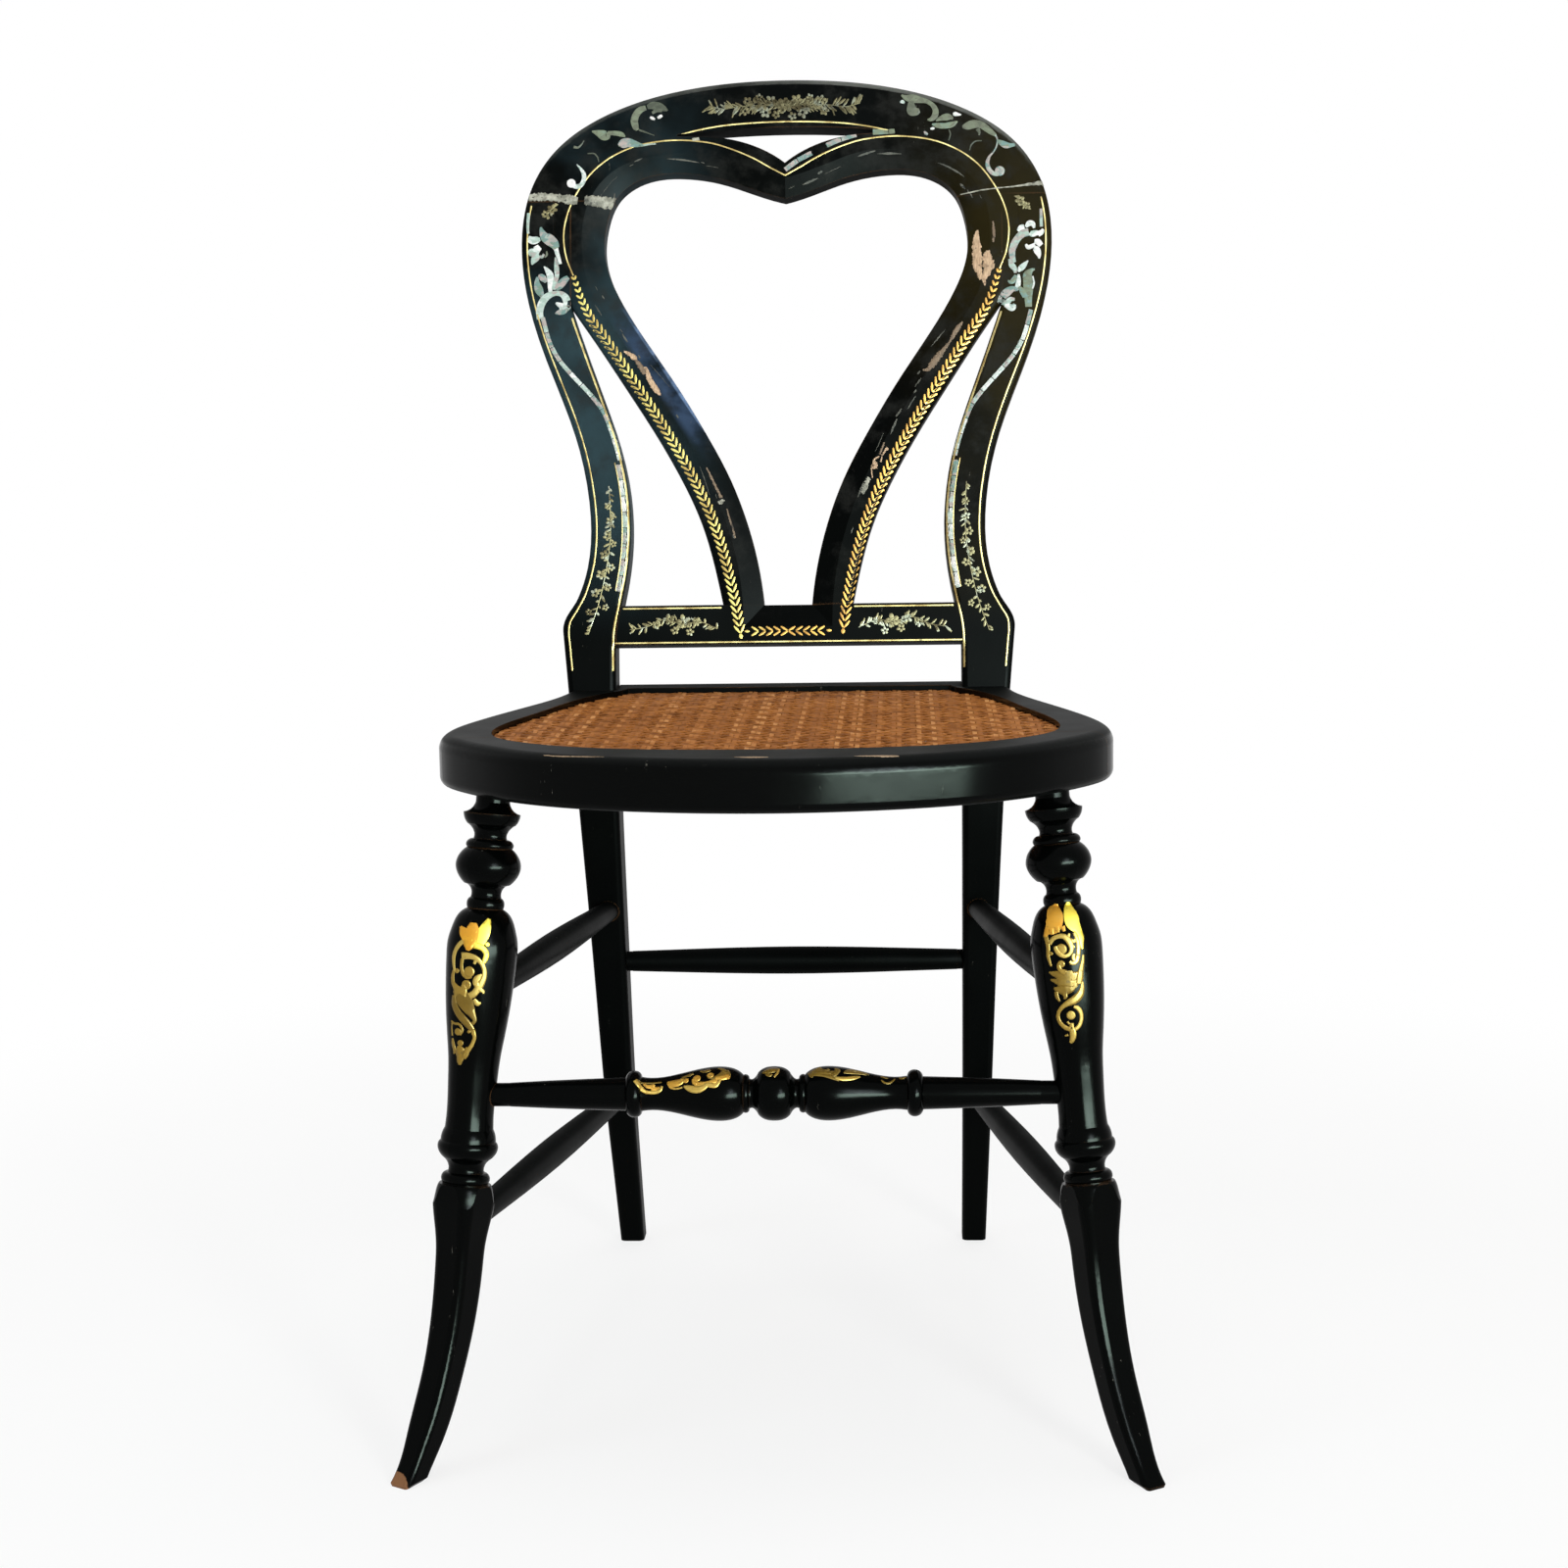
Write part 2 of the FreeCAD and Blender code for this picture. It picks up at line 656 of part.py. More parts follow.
def sabre():
    # Lower leg in the leg's own frame: straight at first, then an arc out to the foot.
    along = Vector(0, 1, 0)
    sections = []
    for place, size in sabre_straight_shares:
        centre = Vector(0, 0, leg_turned_length + place * ankle_length)
        sections.append(soft_square(centre, Vector(1, 0, 0), along, size * sabre_half_side))
    for place, size in sabre_curved_shares:
        turn = math.radians(sabre_turn * place)
        centre = Vector(1 - math.cos(turn), 0, math.sin(turn)) * sabre_radius
        centre.z += leg_straight_length
        across = Vector(math.cos(turn), 0, -math.sin(turn))
        sections.append(soft_square(centre, across, along, size * sabre_half_side))
    bar = Part.makeLoft(sections, True)
    dome = turned((dome_shares,), ankle_length, dome_radius)
    dome.translate(Vector(0, 0, leg_turned_length))
    below = cuboid(Vector(-overrun, -overrun, leg_turned_length + dome_shares[-1][0] * ankle_length),
                   Vector(overrun * 2, overrun, leg_straight_length + sabre_radius))
    return bar.common(dome.fuse(below))


def front_leg():
    # Right front leg: turned down to the ankle, then a sabre foot.
    tenon_row = ((-leg_tenon_length / leg_turned_length, leg_tenon_share), leg_turning_shares[0][0])
    leg = turned((tenon_row,) + leg_turning_shares, leg_turned_length, leg_radius).fuse(sabre())
    down, out = leg_axis()
    turn = FreeCAD.Rotation(out, down.cross(out), down, "ZXY")
    leg.Placement = FreeCAD.Placement(leg_top(), turn)
    floor = cuboid(Vector(0, -overrun * 2, -overrun * 2), Vector(seat_half_width * 2, overrun * 4, 0))
    leg = leg.cut(floor)

    def sole(edge):
        first, last = ends_of(edge)
        return max(first.z, last.z, middle_of(edge).z) < fit
    return leg.makeChamfer(toe_bevel, [edge for edge in leg.Edges if sole(edge)])


def leg_socket():
    down, out = leg_axis()
    depth = leg_tenon_length + dowel_end_gap
    start = leg_top() - down * depth
    return Part.makeCylinder(leg_tenon_radius + fit, depth * 2, start, down)


def stretcher(rows, radius, end_radius, start, end):
    # A turned rod with plain round tenons, laid from start to end.
    length = (end - start).Length
    body = turned(rows, length - stretcher_run * 2, radius)
    body.translate(Vector(0, 0, stretcher_run))
    tenon = Part.makeCylinder(end_radius, stretcher_run)
    other = Part.makeCylinder(end_radius, stretcher_run, Vector(0, 0, length - stretcher_run))
    return rod_between(body.fuse([tenon, other]).removeSplitter(), start, end)


def socket(end_radius, start, end):
    # The two bores that take a stretcher's tenons.
    way = (end - start).normalize()
    depth = stretcher_run + dowel_end_gap
    first = Part.makeCylinder(end_radius + fit, depth, start - way * dowel_end_gap, way)
    last = Part.makeCylinder(end_radius + fit, depth, end + way * dowel_end_gap, -way)
    return first.fuse(last)


def post_front(height):
    # Where the front of the rear leg is at a given height.
    level_line = line(Vector(0, 0, height), Vector(0, seat_side_depth + post_sweep * 2, height))
    edges = post_profile().Edges
    touching = [edge.distToShape(level_line) for edge in edges]
    hits = [hit[1][0][0] for hit in touching if hit[0] < fit]
    return min(hit.y for hit in hits)


def side_stretcher_ends(front_height, rear_height):
    leg = leg_point(front_height)
    middle = (post_inner + post_outer_foot) / 2
    rear = Vector(middle, post_front(rear_height) + stretcher_run - socket_floor, rear_height)
    way = (rear - leg).normalize()
    return leg + way * socket_floor, rear


def front_stretcher_ends():
    leg = leg_point(front_stretcher_height)
    end = leg - Vector(socket_floor, 0, 0)
    return mirrored([end])[0], end


def rear_stretcher_ends():
    middle = post_front(rear_stretcher_height) + post_depth_foot / 2
    end = Vector(post_inner + stretcher_run - socket_floor, middle, rear_stretcher_height)
    return mirrored([end])[0], end


def front_stretcher_rows():
    back_rows = []
    for row in front_stretcher_shares[::-1]:
        back_rows.append(tuple((1 - along, out) for along, out in row[::-1]))
    half = [tuple((1 + along, out) for along, out in row) for row in front_stretcher_shares]
    knop = tuple((1 + along, out) for along, out in front_stretcher_knop_shares)
    rows = back_rows + [knop] + half
    return tuple(tuple((along / 2, out) for along, out in row) for row in rows)


def build():
    nodes = {}
    upper = side_stretcher_ends(upper_front_height, upper_rear_height)
    lower = side_stretcher_ends(lower_front_height, lower_rear_height)
    front = front_stretcher_ends()
    rear = rear_stretcher_ends()
    bores = socket(rod_end_radius, *upper).fuse(socket(rod_end_radius, *lower))

    crest = lean(crest_rail(fretted_board()))
    nodes["crest_rail"] = crest.cut(shoulder_dowels(fit))

    splat = lean(heart_splat()).cut(shoulder_dowels(fit) + splat_dowels(fit))
    nodes["right_heart_splat"] = splat
    nodes["left_heart_splat"] = flip(splat)

    nodes["back_cross_rail"] = lean(cross_rail()).cut(splat_dowels(fit))

    post = back_post()
    bare_post = post.copy()
    holes = shoulder_dowels(fit) + [lean(cross_rail_tenons(fit)), side_tenon(fit), rear_tenons(fit)]
    holes += [bores, socket(rod_end_radius, *rear)]
    nodes["right_back_post"] = post.cut(holes)
    nodes["left_back_post"] = flip(nodes["right_back_post"])

    nodes["shoulder_dowels"] = Part.makeCompound(shoulder_dowels(0))
    nodes["splat_foot_dowels"] = Part.makeCompound(splat_dowels(0))
    nodes["seat_corner_dowels"] = Part.makeCompound(seat_dowels(0))

    frame = seat_frame()
    span = seat_half_width + overrun
    front_part = cuboid(Vector(-span, -overrun, 0), Vector(span, front_joint_depth, seat_height * 2))
    nodes["seat_front_rail"] = frame.common(front_part).cut(seat_dowels(fit) + [leg_socket(), flip(leg_socket())])
    side_part = cuboid(Vector(0, front_joint_depth, 0), Vector(span, seat_side_depth, seat_height * 2))
    side = frame.common(side_part).cut(bare_post).fuse(side_tenon(0)).removeSplitter()
    side = side.cut(seat_dowels(fit))
    nodes["seat_right_rail"] = side
    nodes["seat_left_rail"] = flip(side)
    rear_part = cuboid(Vector(-post_inner, seat_side_depth, 0), Vector(post_inner, span * 2, seat_height * 2))
    nodes["seat_rear_rail"] = frame.common(rear_part).fuse(rear_tenons(0)).removeSplitter()
    nodes["cane_panel"] = cane_panel()

    leg = front_leg().cut([bores, socket(rod_end_radius, *front)])
    nodes["right_front_leg"] = leg
    nodes["left_front_leg"] = flip(leg)

    rows = front_stretcher_rows()
    nodes["front_stretcher"] = stretcher(rows, front_stretcher_radius, rod_end_radius, *front)
    for name, ends in (("upper", upper), ("lower", lower)):
        rod = stretcher(rod_shares, rod_radius, rod_end_radius, *ends)
        nodes["right_" + name + "_stretcher"] = rod
        nodes["left_" + name + "_stretcher"] = flip(rod)
    nodes["rear_stretcher"] = stretcher(rod_shares, rod_radius, rod_end_radius, *rear)
    return nodes


nodes = build()
# The feet stand on the floor; the origin moves to the middle of the footprint.
box = Part.makeCompound(list(nodes.values())).optimalBoundingBox(False)
shift = Vector(0, -(box.YMin + box.YMax) / 2, 0)
for name, shape in nodes.items():
    shape.translate(shift)
    shape.exportStep("parts/" + name + ".step")
print("origin moved by", shift.y)
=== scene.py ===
import bpy
import bmesh
import math
import random
from mathutils import Matrix, Vector
from mathutils.bvhtree import BVHTree


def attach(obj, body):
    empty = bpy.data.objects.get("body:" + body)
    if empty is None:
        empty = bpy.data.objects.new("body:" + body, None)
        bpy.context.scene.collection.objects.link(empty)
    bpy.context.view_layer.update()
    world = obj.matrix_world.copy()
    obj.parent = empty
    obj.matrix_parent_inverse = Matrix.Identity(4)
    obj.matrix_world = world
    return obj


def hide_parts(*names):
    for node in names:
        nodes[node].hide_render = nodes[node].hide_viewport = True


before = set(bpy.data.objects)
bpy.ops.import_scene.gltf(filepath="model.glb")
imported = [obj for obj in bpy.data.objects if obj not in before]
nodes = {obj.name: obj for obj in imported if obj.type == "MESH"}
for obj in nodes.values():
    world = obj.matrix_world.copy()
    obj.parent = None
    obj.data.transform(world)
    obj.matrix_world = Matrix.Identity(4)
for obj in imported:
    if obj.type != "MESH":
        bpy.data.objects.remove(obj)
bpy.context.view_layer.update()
scene = bpy.context.scene
dice = random.Random(1860)
mm = 0.001
print("frame loaded,", len(nodes), "pieces")

# where the photograph was taken from, millimetres and degrees
view = {"place": (80.2, -1809.5, 664.9), "pitch": 8.637, "yaw": 2.507, "roll": -0.901, "lens": 63.09}


def makeCamera():
    pitch, yaw, roll = (math.radians(view[k]) for k in ("pitch", "yaw", "roll"))
    look = Vector((-math.sin(yaw) * math.cos(pitch), math.cos(yaw) * math.cos(pitch), -math.sin(pitch)))
    level = Vector((math.cos(yaw), math.sin(yaw), 0))
    upright = level.cross(look)
    right = level * math.cos(roll) + upright * math.sin(roll)
    up = upright * math.cos(roll) - level * math.sin(roll)
    data = bpy.data.cameras.new("photoView")
    data.lens, data.sensor_width = view["lens"], 36.0
    camera = bpy.data.objects.new("photoView", data)
    scene.collection.objects.link(camera)
    turn = Matrix((right, up, -look)).transposed().to_4x4()
    camera.matrix_world = Matrix.Translation(Vector(view["place"]) * mm) @ turn
    scene.camera = camera


class Wire:
    # a shader socket that Python sums can use
    def __init__(self, finish, socket):
        self.finish, self.socket = finish, socket

    def sum(self, operation, one, two):
        return self.finish.add("Math", {"operation": operation}, {0: one, 1: two})

    def __add__(self, other):
        return self.sum("ADD", self, other)

    def __sub__(self, other):
        return self.sum("SUBTRACT", self, other)

    def __rsub__(self, other):
        return self.sum("SUBTRACT", other, self)

    def __mul__(self, other):
        return self.sum("MULTIPLY", self, other)

    __radd__, __rmul__ = __add__, __mul__


class Finish:
    def __init__(self, name):
        self.material = bpy.data.materials.new(name)
        self.material.use_nodes = True
        self.tree = self.material.node_tree
        self.shader = self.tree.nodes["Principled BSDF"]
        self.place = self.add("TexCoord", {}, {}, "Object")

    def add(self, kind, settings, inputs, output=0):
        node = self.tree.nodes.new("ShaderNode" + kind)
        for name, value in settings.items():
            if name == "stops":
                while len(node.color_ramp.elements) < len(value):
                    node.color_ramp.elements.new(1.0)
                for element, (spot, colour) in zip(node.color_ramp.elements, value):
                    element.position, element.color = spot, (*colour, 1)
            else:
                setattr(node, name, value)
        for name, value in inputs.items():
            self.join(value, node.inputs[name])
        return Wire(self, node.outputs[output])

    def join(self, value, socket):
        if isinstance(value, Wire):
            self.tree.links.new(value.socket, socket)
        elif socket.type == "RGBA":
            socket.default_value = (*value, 1)
        else:
            socket.default_value = value

    def axis(self, number):
        return self.add("SeparateXYZ", {}, {0: self.place}, number)

    def ownTone(self):
        # what each brush stroke, slip of pearl or strand of cane carries
        return self.add("Attribute", {"attribute_name": "tone"}, {}, "Fac")

    def ramp(self, stops, value):
        return self.add("ValToRGB", {"stops": stops}, {0: value})

    def noise(self, scale, detail=3.0, rough=0.55, place=None):
        spots = {"Vector": place or self.place, "Scale": scale, "Detail": detail, "Roughness": rough}
        return self.add("TexNoise", {}, spots)

    def step(self, value, low, high):
        ends = {"Value": value, "From Min": low, "From Max": high}
        return self.add("MapRange", {"interpolation_type": "SMOOTHSTEP"}, ends)

    def mix(self, share, one, two):
        return self.add("Mix", {"data_type": "RGBA"}, {0: share, 6: one, 7: two}, 2)

    def stretched(self, scale):
        return self.add("Mapping", {}, {"Vector": self.place, "Scale": scale})

    def near(self, spot, reach):
        gap = self.add("VectorMath", {"operation": "DISTANCE"}, {0: self.place, 1: spot}, 1)
        return self.step(gap, reach, reach * 0.55)

    def edges(self, radius):
        # how far the surface turns within a small radius
        soft = self.add("Bevel", {"samples": 6}, {"Radius": radius})
        flat = self.add("NewGeometry", {}, {}, "Normal")
        return 1 - self.add("VectorMath", {"operation": "DOT_PRODUCT"}, {0: soft, 1: flat}, 1)

    def bump(self, height, strength, depth):
        relief = {"Height": height, "Strength": strength, "Distance": depth}
        self.join(self.add("Bump", {}, relief), self.shader.inputs["Normal"])

    def set(self, **values):
        for name, value in values.items():
            self.join(value, self.shader.inputs[name.replace("_", " ")])
        return self.material


lacquer = {
    "black": (0.0007, 0.0010, 0.0009), "tealReflection": (0.027, 0.053, 0.063), "brown": (0.018, 0.014, 0.0038),
    "rubbed": (0.105, 0.052, 0.022), "scuff": (0.16, 0.155, 0.13), "wood": (0.22, 0.105, 0.050),
    "toe": (-0.232, -0.247, 0.0), "wearAndSheenGrey": (0.10, 0.105, 0.095), "haze": (0.020, 0.021, 0.019),
    # roughness, what is added to it on level surfaces, gloss
    "turned": (0.09, 0.05, 0.030), "rail": (0.10, 0.34, 0.042), "flat": (0.36, 0.20, 0.015),
    # where the back begins, where its sides carry a painted teal reflection and a brown tint, where its crown
    # turns grey with wear and a painted highlight, and how far wear reaches, metres
    "back": (0.47, 0.58), "coolReflectionSide": (-0.03, -0.14), "warmSide": (0.06, 0.15), "crown": (0.79, 0.83),
    "edge": 0.0022, "toeReach": 0.014,
}
# a painted blue reflection of the sky beside the inner edge of one heart leg, with a painted highlight on its
# narrow bevel, in metres
heartSkyGlare = {"start": (-0.083, 0.653), "inwards": (0.836, 0.560), "down": (0.548, -0.855),
         "top": (-0.075, -0.03), "low": (0.066, 0.02), "side": (0.02, 0.012),
         "sky": ((0.035, 0.062, 0.115), (-0.012, -0.006)), "glare": ((0.17, 0.27, 0.46), (0.0006, 0.0016))}


def heartSkyReflection(paint, tone):
    beside, above = paint.axis(0) - heartSkyGlare["start"][0], paint.axis(2) - heartSkyGlare["start"][1]
    inwards, down = (beside * heartSkyGlare[way][0] + above * heartSkyGlare[way][1] for way in ("inwards", "down"))
    spread = paint.step(down, *heartSkyGlare["top"]) * paint.step(down, *heartSkyGlare["low"])
    spread = spread * paint.step(inwards, *heartSkyGlare["side"]) * paint.step(paint.noise(40.0, 4.0), 0.26, 0.56)
    # paints the sky's reflection, then a highlight on the narrow bevel
    for colour, start in (heartSkyGlare["sky"], heartSkyGlare["glare"]):
        tone = paint.mix(spread * paint.step(inwards, *start), tone, colour)
    return tone


def japanning(kind):
    paint = Finish("japanned_" + kind)
    across, height = paint.axis(0), paint.axis(2)
    facing = paint.add("NewGeometry", {}, {}, "Normal")
    upward = paint.add("SeparateXYZ", {}, {0: facing}, 2)
    cloud = paint.noise(9.0, 4.0)
    back = paint.step(height, *lacquer["back"])
    # one side of the back is painted with a teal reflection of a window, the other has a brown tint
    coolReflection = paint.step(across, *lacquer["coolReflectionSide"]) * back * paint.step(cloud, 0.28, 0.62)
    warm = paint.step(across, *lacquer["warmSide"]) * back * paint.step(cloud, 0.34, 0.68)
    tone = paint.mix(coolReflection, lacquer["black"], lacquer["tealReflection"])
    # then a painted sky reflection and highlight beside one heart leg
    tone = heartSkyReflection(paint, paint.mix(warm, tone, lacquer["brown"]))
    # wear: rubbed arrises, short pale scuffs, a bare toe on one foot
    speck = paint.noise(110.0, 5.0, 0.65)
    turn = paint.edges(lacquer["edge"])
    rub = paint.step(turn + (speck - 0.5) * 0.22, 0.10, 0.26) * paint.step(paint.noise(16.0), 0.38, 0.66)
    streak = paint.noise(1.0, 4.0, 0.7, paint.stretched((420.0, 420.0, 70.0)))
    scuff = paint.step(streak, 0.66, 0.72) * paint.step(paint.noise(21.0), 0.54, 0.66)
    toe = paint.near(lacquer["toe"], lacquer["toeReach"])
    toe = paint.step(toe + (speck - 0.5) * 0.8, 0.42, 0.62)
    haze = back * paint.step(paint.noise(38.0, 5.0, 0.65), 0.46, 0.70)
    tone = paint.mix(haze * 0.6, tone, lacquer["haze"])
    # the crest's upward-facing top turns grey in patches: rubbed wear and a painted highlight from above
    crown = paint.step(height, *lacquer["crown"]) * paint.step(upward + (speck - 0.5) * 0.3, 0.25, 0.50)
    tone = paint.mix(crown * paint.step(cloud, 0.25, 0.55), tone, lacquer["wearAndSheenGrey"])
    tone = paint.mix(rub * 0.75, tone, lacquer["rubbed"])
    tone = paint.mix(scuff * 0.8, tone, lacquer["scuff"])
    tone = paint.mix(toe, tone, lacquer["wood"])
    rough, topRough, gloss = lacquer[kind]
    dull = rough + 0.14 * paint.noise(30.0) + 0.30 * rub + 0.25 * scuff + 0.3 * toe
    dull = dull + topRough * paint.step(upward * upward, 0.15, 0.6)
    hand = paint.noise(26.0, 2.0) + 0.12 * paint.noise(320.0, 2.0) - 0.25 * scuff - 0.35 * rub
    paint.bump(hand, 0.16, 0.0006)
    return paint.set(Base_Color=tone, Roughness=dull, Specular_IOR_Level=gloss)


gilt = {
    "line": ((0.56, 0.45, 0.20), (0.34, 0.235, 0.08)), "leaf": ((0.52, 0.285, 0.060), (0.31, 0.145, 0.028)),
    "spray": ((0.23, 0.19, 0.095), (0.095, 0.074, 0.031)), "pale": (0.48, 0.39, 0.115),
    "silver": (0.27, 0.265, 0.20), "faded": (0.035, 0.028, 0.013), "worn": (0.03, 0.022, 0.010),
    "metal": 0.40, "scrollMetal": 0.24,
    # where the leaf turns paler and where it has faded, metres across or up
    "paleSide": (0.0, -0.04), "fadedCrest": (0.81, 0.835), "fadedSide": (0.03, 0.10),
    "scroll": ((0.0, (0.12, 0.072, 0.006)), (0.35, (0.26, 0.155, 0.018)), (0.6, (0.42, 0.285, 0.060)),
               (0.8, (0.62, 0.28, 0.018)), (1.0, (0.74, 0.57, 0.06))),
}


def gilding(kind):
    gold = Finish("gilt_" + kind)
    patch = gold.step(gold.noise(70.0, 4.0, 0.6), 0.34, 0.66)
    if kind == "scroll":   # each brush stroke has its own tone
        tone = gold.ramp(gilt["scroll"], gold.ownTone() + (gold.noise(120.0, 4.0) - 0.5) * 0.16)
    else:
        bright, dull = gilt[kind]
        tone = gold.mix(patch, dull, bright)
    if kind == "leaf":   # the bands on one side have kept a yellower leaf
        pale = gold.step(gold.axis(0), *gilt["paleSide"])
        tone = gold.mix(pale * (0.5 + 0.5 * patch), tone, gilt["pale"])
    if kind == "spray":   # the crest and one side have lost more leaf
        tone = gold.mix(gold.step(gold.noise(130.0, 2.0), 0.52, 0.62), tone, gilt["silver"])
        tone = gold.mix(gold.step(gold.axis(2), *gilt["fadedCrest"]) * 0.55, tone, gilt["faded"])
        tone = gold.mix(gold.step(gold.axis(0), *gilt["fadedSide"]) * 0.35, tone, gilt["faded"])
    worn = gold.step(gold.noise(260.0, 4.0, 0.7), 0.60, 0.70)
    tone = gold.mix(worn * 0.6, tone, gilt["worn"])
    gold.bump(gold.noise(420.0, 2.0), 0.12, 0.0003)
    metal = gilt["scrollMetal"] if kind == "scroll" else gilt["metal"]
    metal = metal - 0.3 * metal * worn
    sheen = 0.34 + 0.22 * patch + 0.2 * worn
    return gold.set(Base_Color=tone, Roughness=sheen, Metallic=metal, Specular_IOR_Level=0.2)


pearl = {"crack": (0.03, 0.032, 0.026), "stops": (
    (0.0, (0.045, 0.052, 0.042)), (0.18, (0.085, 0.10, 0.075)), (0.32, (0.16, 0.18, 0.13)),
    (0.42, (0.22, 0.27, 0.18)), (0.51, (0.18, 0.32, 0.30)), (0.60, (0.47, 0.39, 0.365)),
    (0.70, (0.38, 0.53, 0.46)), (0.84, (0.64, 0.72, 0.68)), (1.0, (0.87, 0.86, 0.84)),
)}


def motherOfPearl():
    shell = Finish("mother_of_pearl")
    own = shell.ownTone()
    ripple = shell.noise(1.0, 3.0, 0.6, shell.stretched((190.0, 190.0, 520.0)))
    spots = {0: shell.stretched((1.0, 1.0, 1.6)), 1: shell.noise(180.0, 2.0) * 0.006}
    wander = shell.add("VectorMath", {"operation": "ADD"}, spots)
    flake = shell.add("TexVoronoi", {}, {"Vector": wander, "Scale": 240.0}, "Color")
    flake = shell.add("SeparateColor", {}, {0: flake}, 0)
    play = (flake - 0.5) * 0.26 + (shell.noise(130.0, 3.0) - 0.5) * 0.36 + (ripple - 0.5) * 0.36
    tone = shell.ramp(pearl["stops"], own + play * (0.12 + 0.95 * own))
    crack = shell.step(shell.noise(330.0, 4.0, 0.75), 0.60, 0.70)
    tone = shell.mix(crack * 0.6, tone, pearl["crack"])
    shell.bump(ripple, 0.08, 0.0003)
    return shell.set(Base_Color=tone, Roughness=0.24 + 0.2 * ripple, Specular_IOR_Level=0.10)


bare = {"grain": ((0.42, 0.27, 0.16), (0.68, 0.49, 0.31)), "fleck": (0.10, 0.055, 0.03),
        "under": (0.012, 0.010, 0.008)}


def bareWood(name="bare_wood", light=1.0):
    wood = Finish(name)
    grain = wood.noise(1.0, 4.0, 0.6, wood.stretched((900.0, 900.0, 60.0)))
    tone = wood.mix(wood.step(grain, 0.3, 0.7), *bare["grain"])
    tone = wood.mix(wood.step(wood.noise(240.0), 0.58, 0.70), tone, bare["fleck"])
    tone = wood.mix(light, bare["under"], tone)
    wood.bump(grain, 0.3, 0.0004)
    return wood.set(Base_Color=tone, Roughness=0.62 + 0.2 * grain, Specular_IOR_Level=0.15)


putty = {"lumps": ((0.20, 0.20, 0.155), (0.55, 0.55, 0.45)), "pits": (0.05, 0.045, 0.035),
         "under": (0.010, 0.009, 0.008)}


def filling(name="joint_filler", light=1.0):
    paste = Finish(name)
    lump = paste.noise(160.0, 4.0, 0.65)
    tone = paste.mix(paste.step(lump, 0.35, 0.7), *putty["lumps"])
    tone = paste.mix(paste.step(paste.noise(310.0), 0.60, 0.68), tone, putty["pits"])
    tone = paste.mix(light * paste.step(paste.noise(90.0, 4.0), 0.22, 0.46), putty["under"], tone)
    paste.bump(lump, 0.4, 0.0005)
    return paste.set(Base_Color=tone, Roughness=0.55 + 0.25 * lump, Specular_IOR_Level=0.15)


caneTones = ((0.0, (0.085, 0.029, 0.008)), (0.4, (0.23, 0.080, 0.020)), (0.75, (0.38, 0.145, 0.038)),
             (1.0, (0.60, 0.30, 0.11)))


def caneFinish():
    reed = Finish("cane_strand")
    tone = reed.ramp(caneTones, reed.ownTone() + (reed.noise(120.0, 3.0) - 0.5) * 0.9)
    fibre = reed.noise(900.0, 2.0)
    reed.bump(fibre, 0.18, 0.0003)
    return reed.set(Base_Color=tone, Roughness=0.50 + 0.25 * fibre, Specular_IOR_Level=0.035)


beech = ((0.36, 0.22, 0.12), (0.60, 0.42, 0.25))


def dowelFinish():
    peg = Finish("dowel_beech")
    grain = peg.noise(1.0, 4.0, 0.6, peg.stretched((700.0, 700.0, 90.0)))
    tone = peg.mix(grain, *beech)
    peg.bump(grain, 0.2, 0.0003)
    return peg.set(Base_Color=tone, Roughness=0.55 + 0.2 * grain)


lacquerKinds = {"left_front_leg": "turned", "right_front_leg": "turned", "front_stretcher": "turned",
                "seat_front_rail": "rail", "seat_left_rail": "rail", "seat_right_rail": "rail"}


def paintFrame():
    finishes = {kind: japanning(kind) for kind in ("turned", "rail", "flat")}
    peg = dowelFinish()
    for name, node in nodes.items():
        look = finishes[lacquerKinds.get(name, "flat")]
        for slot in node.material_slots:
            slot.material = peg if "dowel" in name else look


# flat sheets that ornaments are drawn on before they are pressed on to the wood, millimetres and degrees
lean = math.radians(12.0)
boardSheet = {
    "start": Vector((0.0, 118.0, 440.0)), "across": Vector((1, 0, 0)),
    "up": Vector((0, math.sin(lean), math.cos(lean))), "skin": 4.6,
    "on": ("crest_rail", "left_back_post", "right_back_post", "left_heart_splat", "right_heart_splat",
           "back_cross_rail"),
}
rodSheet = {"start": Vector((0.0, -180.0, 226.0)), "across": Vector((1, 0, 0)),
            "up": Vector((0, 1, 1)).normalized(), "on": ("front_stretcher",)}
leg = {"top": (170.5, -155.0, 408.0), "toward": (52.5, -84.0), "splay": 9.2, "height": 285.0}


def legSheet(side, name):
    # a sheet down the front of a splayed leg, centred on the swelling of its vase
    splay = math.radians(leg["splay"])
    plan = Vector((side * leg["toward"][0], leg["toward"][1], 0)).normalized()
    up = Vector((0, 0, math.cos(splay))) - plan * math.sin(splay)
    top = Vector((side * leg["top"][0], leg["top"][1], leg["top"][2]))
    start = top + up * ((leg["height"] - top.z) / up.z)
    return {"start": start, "across": Vector((0, 1, 0)).cross(up).normalized(), "up": up, "on": (name,)}


# how far off the wood a ray starts, and how far out beside the chair, metres
pressing = {"reach": 0.08, "beside": 0.4}
shells = {}


def shellOf(names):
    if names not in shells:
        spots, faces = [], []
        for name in names:
            mesh = nodes[name].data
            mesh.calc_loop_triangles()
            first = len(spots)
            spots += [v.co.copy() for v in mesh.vertices]
            faces += [[first + i for i in t.vertices] for t in mesh.loop_triangles]
        shells[names] = BVHTree.FromPolygons(spots, faces)
    return shells[names]


